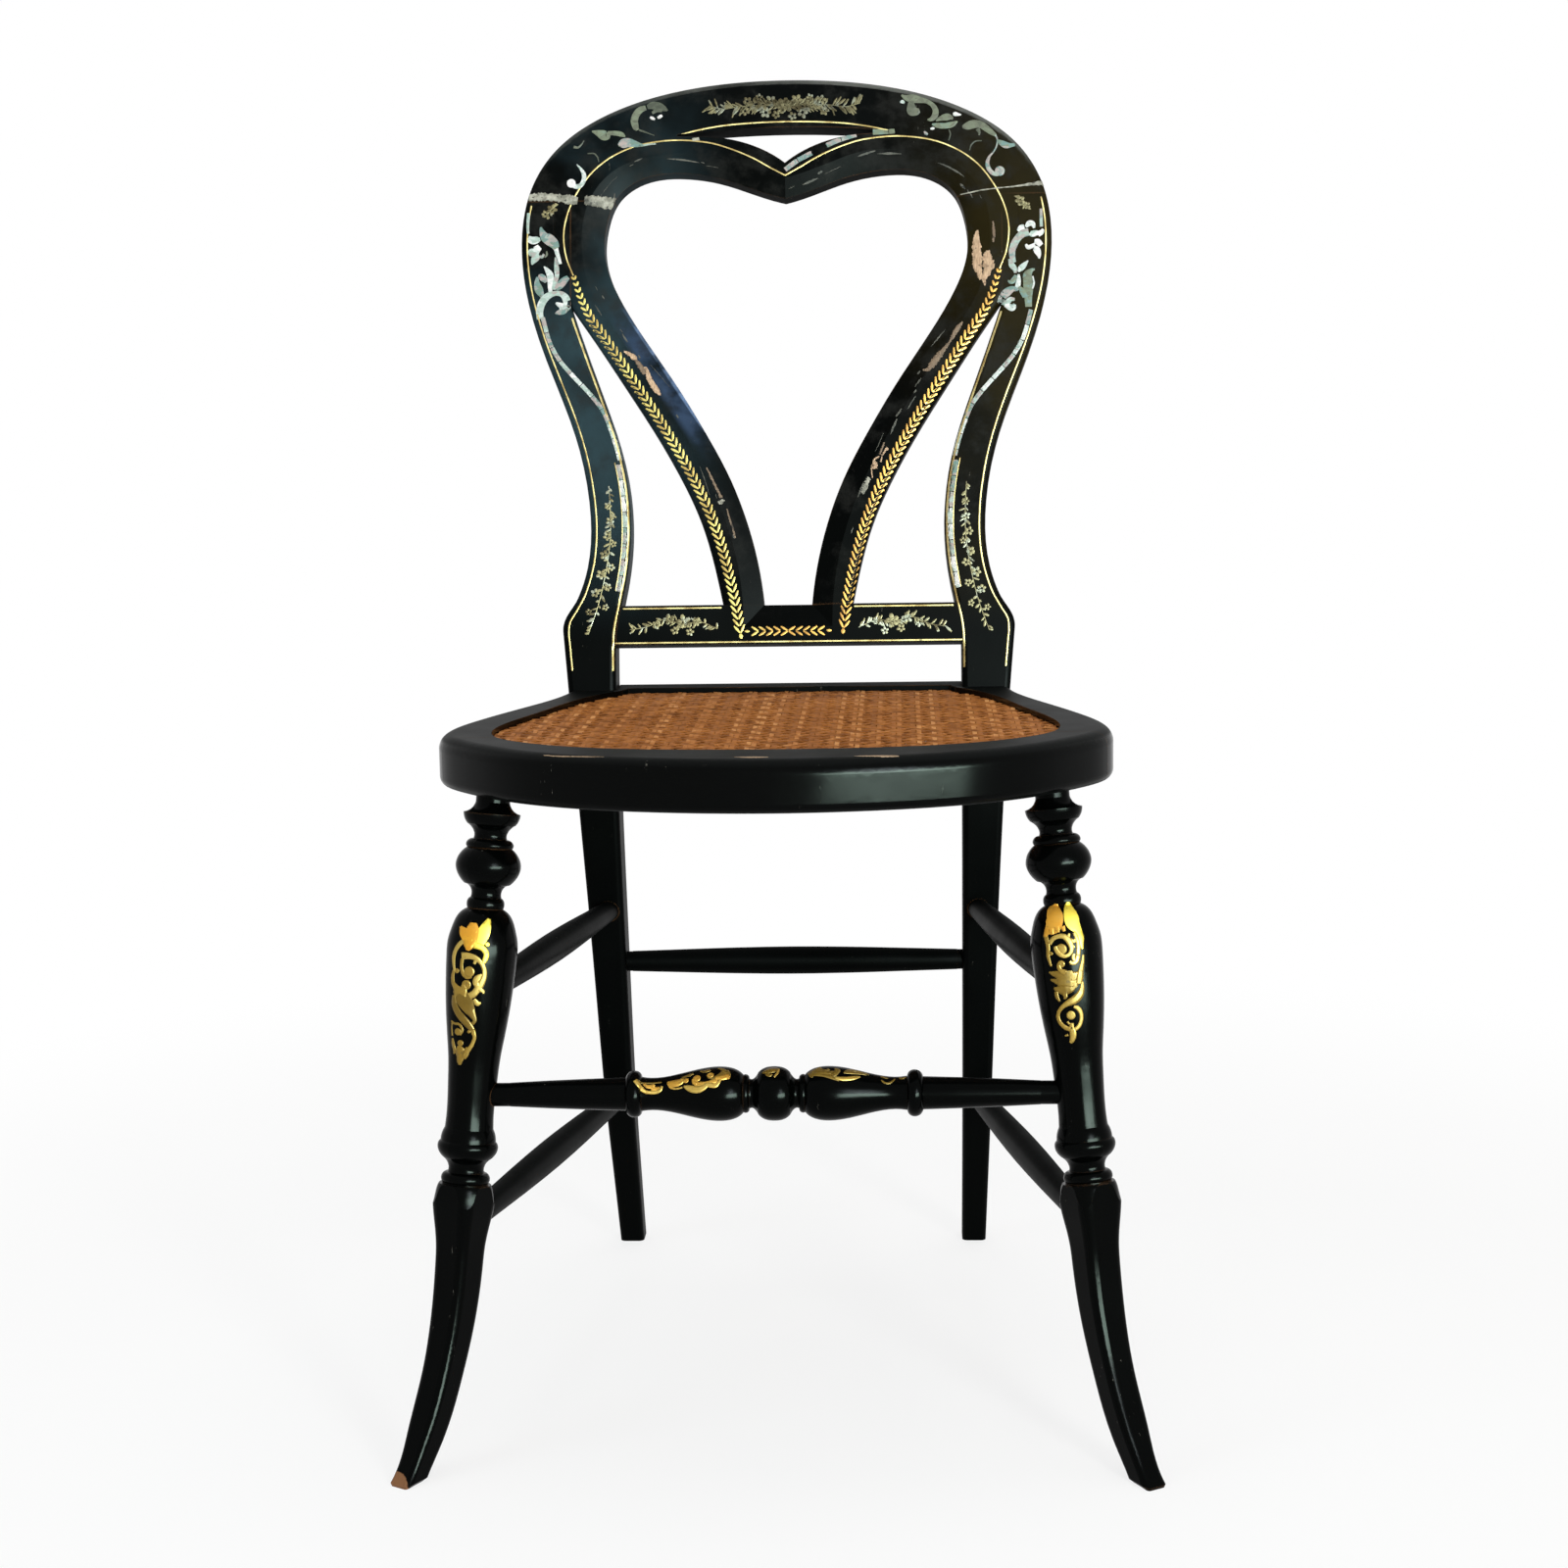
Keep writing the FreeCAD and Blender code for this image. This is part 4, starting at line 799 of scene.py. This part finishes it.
rightLegScroll = (
    # orange
    (0.76,
     ((-4, 56.3, 1.5), (-5.5, 52, 8.5), (-6, 47, 9.5), (-8, 43, 9), (-11.5, 40, 3.5), (-13, 37.5, 1.5)),
     ((-2, 43, 3), (-1.2, 40, 1.6)), ((-5.5, 43, 3), (-5, 39.6, 2)), ((-9, 42, 3), (-8.6, 38.6, 1.8))),
    # yellow
    (1.0,
     ((3, 56.8, 2), (2.8, 53, 5.5), (3.6, 48, 8.5), (4.5, 44, 8), (7, 39.5, 4.5), (8.2, 35, 3.6),
      (8.2, 31, 2.4), (8.6, 28.5, 1))),
    # cream
    (0.6,
     ((5, 39, 3), (6.2, 34, 2.6), (6.2, 29, 2.6), (5.4, 24.5, 2.8), (4, 21.2, 2.6), (1.5, 20.6, 2.2),
      (0.3, 21.9, 1.4)), ((3, 22, 2), (2.6, 24.4, 2.2), (3.6, 26.2, 1.5)), ((0.5, 36, 2.5), (1.6, 38.6, 1)),
     ((2, 34, 3), (4.2, 33.8, 2.2), (4.6, 35, 0.8)), ((2.5, 31, 2), (4, 30, 1)),
     ((-10.6, 33, 2), (-8.5, 36, 2.4), (-5, 37.3, 2.6), (-1.5, 36.8, 3.2), (1.2, 33.5, 3.6), (2, 29.5, 2.6),
      (0.8, 26.6, 2.2), (-2, 25.2, 2.2), (-5, 26.4, 2.6), (-7, 29, 2.4), (-7.5, 31.5, 1.8))),
    # gold
    (0.38, ((-4, 29.5, 6.6),),
     ((-12.6, 38.5, 2.5), (-12, 34.5, 2.2), (-11.8, 30.5, 2), (-12.2, 26, 1.8), (-11.6, 22, 1.4),
      (-11, 19.6, 0.8)), ((-10.4, 27.3, 2.2),), ((-5, 20.6, 4.4),),
     ((-3.4, 21, 2), (-5.2, 21.8, 2), (-6.6, 19.8, 2.2), (-5.8, 17, 2.6), (-3, 15, 4)),
     ((8.7, 25, 1.2), (8, 21, 2), (6.6, 16.5, 3), (5.5, 12, 4), (4.5, 8, 3.5)),
     ((6.8, 9, 1), (6, 4.5, 3), (4.2, 1, 4.6), (1, -1.6, 5), (-3, -3.2, 3.6), (-6.6, -5.4, 2.4),
      (-9, -8.5, 2), (-9.6, -12, 2), (-8.2, -15.6, 2.2), (-5.5, -18.2, 2.6), (-3, -19.2, 2.5))),
    # olive
    (0.18,
     ((-12.5, 16, 1), (-9.5, 15, 3.5), (-5, 13.5, 6), (0, 12.5, 7.5), (4.5, 13.5, 4.5), (7, 17.5, 1.6)),
     ((-12, 11.5, 1), (-9, 10.5, 3), (-4, 9, 7), (1, 8, 6), (4, 10, 3)),
     ((-10.5, 6.5, 0.8), (-8.5, 5.5, 4), (-4.5, 5, 6), (-0.5, 5, 4), (2, 6.2, 1.5)),
     ((-9.5, 4, 2), (-9.2, 1, 2), (-8, -1.8, 1.2)), ((-5, 4, 4), (-4.2, 1, 2.5), (-5, -0.6, 1.2))),
    # tail
    (0.42,
     ((0.2, -5.6, 1.5), (2.6, -6.8, 2.8), (4.2, -10, 2.4), (4, -14, 2.2), (2.4, -17.5, 2.4),
      (-0.2, -19.4, 2.2), (-2, -18.6, 2)), ((-1.9, -10.7, 5.4),), ((-4.4, -14.4, 1), (-3.4, -16, 1.2)),
     ((-1.8, -15.5, 2), (-2.2, -18, 3)),
     ((-2, -19, 3.5), (-1.6, -22, 4), (-2.2, -25, 3.4), (-3.6, -27.6, 1.6)),
     ((-6.5, -23, 0.8), (-4.6, -22.6, 1.4))),
)
rodScroll = (
    # cream
    (0.62,
     ((-84.5, 1.5, 2.5), (-82, -1, 3.2), (-79, -3.4, 2.2), (-75.5, -4.1, 1.8), (-72, -4.1, 1.8),
      (-69.2, -3, 2), (-68, -0.6, 1.2)), ((-61, -3, 0.9), (-58, -3.1, 1.1), (-55.4, -2.8, 0.9)),
     ((-54.4, -2.2, 1), (-52, -3.4, 3), (-49, -4.6, 4), (-45.5, -5.2, 4), (-42.4, -4.4, 3.4),
      (-40.2, -3, 2.8), (-37.5, -3.4, 3), (-35, -3.6, 2.8), (-33.4, -2, 2.2), (-31.8, 0.4, 1)),
     ((3.2, 9, 1), (2.4, 5, 1.3), (0.6, 1.8, 1)),
     ((37.6, 1.4, 1.4), (41, 0.8, 2.6), (45, 1.2, 2.8), (49, 2.4, 2.6), (52.6, 3.8, 1))),
    # amber
    (0.7, ((-64.8, 1.8, 1.5), (-62, 0.8, 4.2), (-59, 0.6, 5), (-56.4, 1.6, 4), (-55.5, 3.4, 2)),
     ((-53.3, 1.6, 3.4),), ((-64.6, 1, 1.2), (-62.6, -1.8, 1.6), (-60, -3, 1.2)), ((-46.6, 2.2, 4.8),),
     ((-38.3, 3.8, 4),), ((-79.5, 1.2, 1.4), (-77, -0.6, 2.2), (-74, -0.4, 2.6), (-72.8, 0.8, 1.4)),
     ((-74.6, -2, 2), (-71.5, -2.4, 2.8), (-69.4, -2, 2.6)),
     ((-49, -0.6, 1.5), (-45.5, -2, 3), (-41, -1.8, 2), (-37, -1.2, 2.6), (-33.6, -0.2, 2.6)),
     ((-48.8, 2, 1.6), (-48.4, -0.4, 2), (-46.6, -2, 2.4)),
     ((-35, 1.4, 2), (-31, 1.6, 3.4), (-28, 2.6, 3.6), (-27, 1, 1.2))),
    # olive
    (0.16, ((-84, 1.8, 1.6), (-80, 1.9, 1), (-74, 2, 1), (-68.5, 2.4, 1)),
     ((-56, 4.6, 1), (-52, 5.6, 2), (-49, 7, 1.4)),
     ((-40.4, 4.4, 1), (-38.8, 2.2, 2.2), (-35.6, 1.6, 2.4), (-32.4, 3.4, 3.2), (-30, 6.5, 3.8),
      (-31.4, 9, 2.4), (-34, 10, 1)), ((-29, 8, 3), (-27.4, 5, 2.8), (-27.6, 2.4, 2.4)),
     ((-45, 8.4, 1.2), (-42, 7.6, 2.6), (-38.6, 8.6, 2.2)),
     ((-7, 6.5, 1.2), (-4.5, 7, 4), (-1.5, 8, 5.4), (1.4, 8.6, 4), (3, 8.4, 1.4)),
     ((-4.6, 5, 1.6), (-2.6, 3.4, 2.4), (-1, 4.4, 2)),
     ((20.6, 6.6, 1.2), (23.5, 7, 4), (26.5, 8.4, 5.2), (28, 11.5, 2)), ((22.4, 4.4, 2), (23.8, 2.6, 1.2)),
     ((21.6, 5.4, 2), (25, 5, 3.2), (29, 4.2, 3.4), (33, 2.8, 3.2), (36.6, 1.2, 2.6), (40, 0, 2)),
     ((28.2, 9.4, 1.6), (31, 7.4, 1.6), (34, 8.4, 1.6)),
     ((26.8, 7, 4), (30, 5.8, 2.6), (34, 5.4, 3), (37, 5.4, 3)),
     ((37.4, 9.6, 1.2), (38.8, 7.6, 3.6), (37.8, 4.6, 3), (36, 3, 3)),
     ((42.6, 5.4, 0.8), (44.6, 7, 3), (47, 9, 3.2), (50, 9.4, 2), (55, 8, 1.4), (58, 6.8, 0.8)),
     ((44, 6, 1.6), (48, 6.6, 2.4), (52, 6.8, 1.6), (56.5, 6.4, 0.8)),
     ((65.4, 3, 0.8), (67, 1.4, 1.2), (69.6, 0.9, 1.3), (72, 2.4, 1.2), (73.6, 4.6, 0.9)),
     ((65, 6.4, 1), (67.4, 5.6, 1.5), (69.4, 5, 0.8)), ((76, 5.6, 0.8), (78, 5.2, 1.6), (80.4, 6, 0.8))),
)
scrollGold = {"layer": 0.006, "lift": 0.10}


def makeArabesques():
    gold = gilding("scroll")
    for name, scroll, sheet in (("gilt_left_leg", leftLegScroll, legSheet(-1, "left_front_leg")),
                                ("gilt_right_leg", rightLegScroll, legSheet(1, "right_front_leg")),
                                ("gilt_front_stretcher", rodScroll, rodSheet)):
        bm = bmesh.new()
        bm.verts.layers.float.new("tone")
        rise = 0.0
        for tone, *strokes in reversed(scroll):
            for points in strokes:
                stroke(bm, points, tone, rise)
                rise += scrollGold["layer"]
        pieceFrom(bm, name, sheet, gold, scrollGold["lift"], cuts=2)


# old repairs and losses, (across, up, width) along each patch
repairs = {
    "filler": (((-184, 355.2, 5), (-175, 355.6, 6.4), (-166, 355, 5.6), (-156, 353.4, 6.8), (-149, 352.2, 7)),
               ((-144, 352.4, 7), (-136, 352, 7.8), (-128, 351.2, 8.6), (-121, 351, 7.4)),
               ((125, 352.8, 0.7), (148, 355.6, 0.9), (162, 356.8, 1.0), (176, 358.4, 2.4), (184, 359.4, 4)),
               ((-66, 395.2, 2), (-61, 395.6, 2.8)),
               ((-49.4, 133.2, 1.6), (-47.3, 133.2, 3), (-45.2, 135.2, 2.4)),
               ((58, 149.5, 2.6), (56.3, 145, 3.6), (54.5, 140.5, 3.4), (53.6, 138, 2))),
    "chips": (((136.8, 326.5, 1.4), (136, 321, 4.4), (136.2, 313, 7), (136.4, 306, 7.4), (136.6, 300, 6.4),
               (138, 295, 4.2), (139, 290.5, 3.4)),
              ((144.5, 311, 2), (143.3, 308, 5.4), (144, 303, 8), (144.6, 299.5, 8.4), (143, 295, 5.6),
               (140.8, 290.5, 3.2), (141.8, 286, 1.2)),
              ((-115.5, 242.6, 1.4), (-112.5, 241, 2.8), (-109, 238.5, 4), (-107, 236.5, 1.5)),
              ((-101, 231.5, 1.6), (-99.3, 228.5, 2.4), (-98, 223.5, 4), (-95.5, 218.5, 5), (-92.3, 213.8, 4),
               (-90.2, 210.6, 1.4)),
              ((60.2, 158.5, 1.5), (62, 157, 4), (63.3, 160.5, 2.5)),
              ((60.5, 149, 1), (60.2, 156, 0.8), (62, 162, 1.2), (65.5, 164.5, 1.2)),
              ((66.5, 160.5, 1), (67.8, 165.5, 1.2), (71.5, 170.5, 2.2))),
    "rubs": (((125.5, 260, 1.2), (122, 255.5, 3.6), (119, 250.5, 3), (116, 245.5, 1.6), (112, 240.5, 3),
              (108, 235.5, 5), (104.5, 231, 5), (101, 226.5, 3), (97, 226, 1)),
             ((-107.5, 236, 2), (-104, 231.5, 4), (-101, 226, 2.5)),
             ((-57.3, 158.5, 0.8), (-53.5, 150.5, 1.6), (-49.5, 142, 1.8), (-46.8, 136.5, 2.4)),
             ((-43, 128.5, 0.9), (-40.8, 121, 1.3), (-38.6, 113.5, 1.3), (-37.2, 107.5, 1)),
             ((66, 166, 1.2), (67.6, 170.5, 1.4), (69, 174.5, 1.2)),
             ((147.8, 332, 1.2), (148.4, 324, 2), (147.8, 317, 1.4))),
    "ridge": ((4, 356), (24, 366), (50, 376), (80, 380), (106, 377), (126, 366), (140, 348), (145, 328),
              (143, 306), (136, 286), (124, 264), (108, 240), (92, 217), (77, 192), (63, 166), (51, 140),
              (42, 114), (35, 88), (30, 66)),
}
# how patches are torn: share of their width, and sideways
tear = {"width": (0.70, 1.12), "side": 0.25}
# the ridge of the heart is rubbed in short dashes
dashes = {"length": (4.0, 26.0), "width": (0.3, 1.7), "share": 0.42, "drift": 5.0, "slope": 0.12,
          "bias": 2.5, "lift": 0.08, "thick": 0.2}
seatSheet = {"start": Vector((0.0, 0.0, 440.0)), "across": Vector((1, 0, 0)), "up": Vector((0, 1, 0)),
             "on": ("seat_front_rail",)}
seatRubs = (((-18, -224, 1.2), (-12, -225, 4), (-5, -225.5, 5), (2, -226, 2)),
            ((52, -225, 1), (60, -224.5, 3.4), (70, -224, 3.2), (78, -223, 0.8)),
            ((-133, -201, 0.5), (-122, -207, 1.0), (-108, -212.5, 0.9), (-95, -216.5, 0.5)))


def torn(path):
    for spot in path:
        spot.z *= dice.uniform(*tear["width"])
        spot.x += dice.uniform(-tear["side"], tear["side"])
    return path


def makeRepairs():
    # piece, patches, sheet, look, lift and thickness
    kinds = (("shoulder_filler", repairs["filler"], boardSheet, filling(), 0.15, 0.3),
             ("heart_chips", repairs["chips"], boardSheet, bareWood(), 0.15, 0.3),
             ("heart_rubs", repairs["rubs"], boardSheet, bareWood("rubbed_heart", 0.38), 0.15, 0.3),
             ("seat_rubs", seatRubs, seatSheet, bareWood("rubbed_seat", 0.55), 0.10, 0.2))
    for name, patches, sheet, look, lift, thick in kinds:
        bm = bmesh.new()
        for points in patches:
            ribbon(bm, torn(smooth(points, 10)))
        pieceFrom(bm, name, sheet, look, lift, thick, cuts=3)


def makeRidgeWear():
    bm = bmesh.new()
    least, most = dashes["length"]
    for half in bothSides(repairs["ridge"]):
        rows = along(smooth(half, 8), 1.0)
        at = 0
        while at < len(rows) - 4:
            run = int(least + (most - least) * dice.random() ** dashes["bias"])
            if dice.random() < dashes["share"]:
                width = dice.uniform(*dashes["width"])
                drift = dice.uniform(-1, 1) * dashes["drift"]
                slope = dice.uniform(-dashes["slope"], dashes["slope"])
                dash = []
                for i, (spot, way) in enumerate(rows[at:at + run]):
                    aside = Vector((-way.y, way.x)) * (drift + slope * i)
                    taper = math.sin(math.pi * (i + 1) / (run + 1))
                    dash.append(Vector((*(spot + aside), width * taper)))
                if len(dash) > 2:
                    ribbon(bm, torn(dash))
            at += run
    look = filling("ridge_wear", 0.26)
    pieceFrom(bm, "heart_ridge_wear", boardSheet, look, dashes["lift"], dashes["thick"])


# six-way cane: two pairs of straight strands and two diagonals, each as long as the panel is there
cane = {"pitch": 12.7, "pair": 3.4, "width": 2.8, "slant": 2.3, "thick": 0.85, "level": 435.95, "wave": 0.55,
        "rib": 0.35, "slantRib": 0.30, "slantWave": 0.33, "stray": 0.25, "shortest": 6.0, "pairs": 16,
        "slants": 34, "shades": (0.26, 0.70), "pale": 0.16, "beyond": 0.6}


def caneSpan(spot, way):
    panel, reach = shellOf(("cane_panel",)), way * cane["beyond"]
    first = panel.ray_cast(spot - reach, way)[0]
    last = panel.ray_cast(spot + reach, -way)[0]
    if first is None or last is None:
        return None
    return (first - spot).dot(way) / mm, (last - spot).dot(way) / mm


def strand(bm, spot, way, width, height, pale=0.0):
    tone = bm.verts.layers.float["tone"]
    span = caneSpan(Vector((*spot, cane["level"])) * mm, Vector((*way, 0)))
    if span is None or span[1] - span[0] < cane["shortest"]:
        return
    count = max(2, round((span[1] - span[0]) / (cane["pitch"] / 2)))
    middle = spot + way * (span[0] + span[1]) / 2
    place = (Matrix.Translation((*middle, 0)) @ Matrix.Rotation(math.atan2(way.y, way.x), 4, "Z")
             @ Matrix.Diagonal(((span[1] - span[0]) / 2, width / 2, 1, 1)))
    made = bmesh.ops.create_grid(bm, x_segments=count, y_segments=1, size=1.0, matrix=place)["verts"]
    shade = dice.uniform(*cane["shades"]) + pale
    for v in made:
        v.co.z = height(v.co.x, v.co.y)
        v[tone] = shade


def makeCane():
    bm = bmesh.new()
    bm.verts.layers.float.new("tone")
    pitch, wave, level, stray = (cane[k] for k in ("pitch", "wave", "level", "stray"))

    def plain(turn, rib=0.0):
        return lambda x, y: level + rib + turn * wave * math.cos(math.pi * (x + y) / pitch)

    def slanted(turn):
        rib, swing = cane["slantRib"], turn * cane["slantWave"]
        return lambda x, y: level + rib + swing * math.sin(2 * math.pi * (x - y) / pitch)

    for n in range(-cane["pairs"], cane["pairs"] + 1):
        for part in (-0.5, 0.5):
            off = n * pitch + part * cane["pair"]
            spot = Vector((off + dice.uniform(-stray, stray), 0))
            # the front-to-back strands lie on top and get a paler tone, a painted highlight on the upper
            # layer
            strand(bm, spot, Vector((0, 1)), cane["width"], plain(1, cane["rib"]), cane["pale"])
            spot = Vector((0, off + dice.uniform(-stray, stray)))
            strand(bm, spot, Vector((1, 0)), cane["width"], plain(-1))
    for n in range(-cane["slants"], cane["slants"] + 1):
        spot = Vector(((n + 0.5) * pitch, 0))
        for turn in (1, -1):
            strand(bm, spot, Vector((turn, 1)).normalized(), cane["slant"], slanted(turn))
    bmesh.ops.transform(bm, matrix=Matrix.Scale(mm, 4), verts=bm.verts)
    bmesh.ops.reverse_faces(bm, faces=[f for f in bm.faces if f.normal.z < 0])
    piece = pieceFrom(bm, "cane_weave", None, caneFinish(), thick=cane["thick"])
    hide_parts("cane_panel")


# metres; a lamp has its place, size, watts, colour and what it gives
studio = {"floor": (0.86, 0.86, 0.85), "half": 9.0, "world": 0.36, "near": 0.80, "pool": (0.45, 1.25),
          "aim": 0.48,
          "lamps": (("window", (1.30, -2.45, 0.95), (0.45, 0.95), 44.0, (1.0, 0.985, 0.95), "light"),
                    ("glint", (1.30, -2.45, 0.95), (0.45, 0.95), 290.0, (0.84, 0.97, 1.0), "gloss"),
                    ("garden", (1.60, -2.6, 0.42), (2.1, 0.75), 380.0, (0.74, 1.0, 0.86), "gloss"),
                    ("leftFill", (-2.1, -1.5, 1.55), (1.1, 1.3), 18.0, (0.80, 0.93, 1.0), "light"),
                    ("ceiling", (0.1, 0.15, 2.7), (1.6, 1.6), 30.0, (1.0, 1.0, 1.0), "light"))}


def seenRay(tree):
    # rays that meet a white room: from the camera, off gloss, through glass
    path = tree.nodes.new("ShaderNodeLightPath")
    total = path.outputs["Is Camera Ray"]
    for name in ("Is Glossy Ray", "Is Transmission Ray"):
        most = tree.nodes.new("ShaderNodeMath")
        most.operation = "MAXIMUM"
        tree.links.new(total, most.inputs[0])
        tree.links.new(path.outputs[name], most.inputs[1])
        total = most.outputs[0]
    return total


def makeStudio():
    bm = bmesh.new()
    bmesh.ops.create_grid(bm, x_segments=8, y_segments=8, size=studio["half"])
    mesh = bpy.data.meshes.new("studio_floor")
    bm.to_mesh(mesh)
    bm.free()
    floor = bpy.data.objects.new("studio_floor", mesh)
    scene.collection.objects.link(floor)
    paint = Finish("studio_paper")
    paint.set(Base_Color=studio["floor"], Roughness=0.9, Specular_IOR_Level=0.0)
    tree = paint.tree
    glow = tree.nodes.new("ShaderNodeEmission")
    blend = tree.nodes.new("ShaderNodeMixShader")
    # a soft shadow round the feet that fades into the white room
    reach = paint.add("VectorMath", {"operation": "LENGTH"}, {0: paint.place}, 1)
    fade = paint.step(reach, *studio["pool"])
    seen = Wire(paint, seenRay(tree)) * (studio["near"] + (1 - studio["near"]) * fade)
    tree.links.new(seen.socket, blend.inputs[0])
    tree.links.new(paint.shader.outputs[0], blend.inputs[1])
    tree.links.new(glow.outputs[0], blend.inputs[2])
    tree.links.new(blend.outputs[0], tree.nodes["Material Output"].inputs[0])
    mesh.materials.append(paint.material)

    world = bpy.data.worlds.new("white_room")
    scene.world = world
    world.use_nodes = True
    tree = world.node_tree
    sky = tree.nodes["Background"]
    level = tree.nodes.new("ShaderNodeMapRange")
    level.inputs["To Min"].default_value = studio["world"]
    tree.links.new(seenRay(tree), level.inputs["Value"])
    tree.links.new(level.outputs[0], sky.inputs["Strength"])
    sky.inputs["Color"].default_value = (1, 1, 1, 1)

    for name, place, size, power, colour, gives in studio["lamps"]:
        lamp = bpy.data.lights.new(name, "AREA")
        lamp.shape, lamp.size, lamp.size_y = "RECTANGLE", size[0], size[1]
        lamp.energy, lamp.color = power, colour
        holder = bpy.data.objects.new(name, lamp)
        scene.collection.objects.link(holder)
        holder.visible_glossy = gives != "light"
        holder.visible_diffuse = gives != "gloss"
        aim = Vector((0, 0, studio["aim"])) - Vector(place)
        holder.matrix_world = Matrix.Translation(place) @ aim.to_track_quat("-Z", "Y").to_matrix().to_4x4()


makeCamera()
scene.view_settings.view_transform = "Standard"
paintFrame()
makeStringing()
makeLaurel()
makeSprays()
makePearl()
makeArabesques()
makeRepairs()
makeRidgeWear()
makeCane()
makeStudio()
print("dressed")
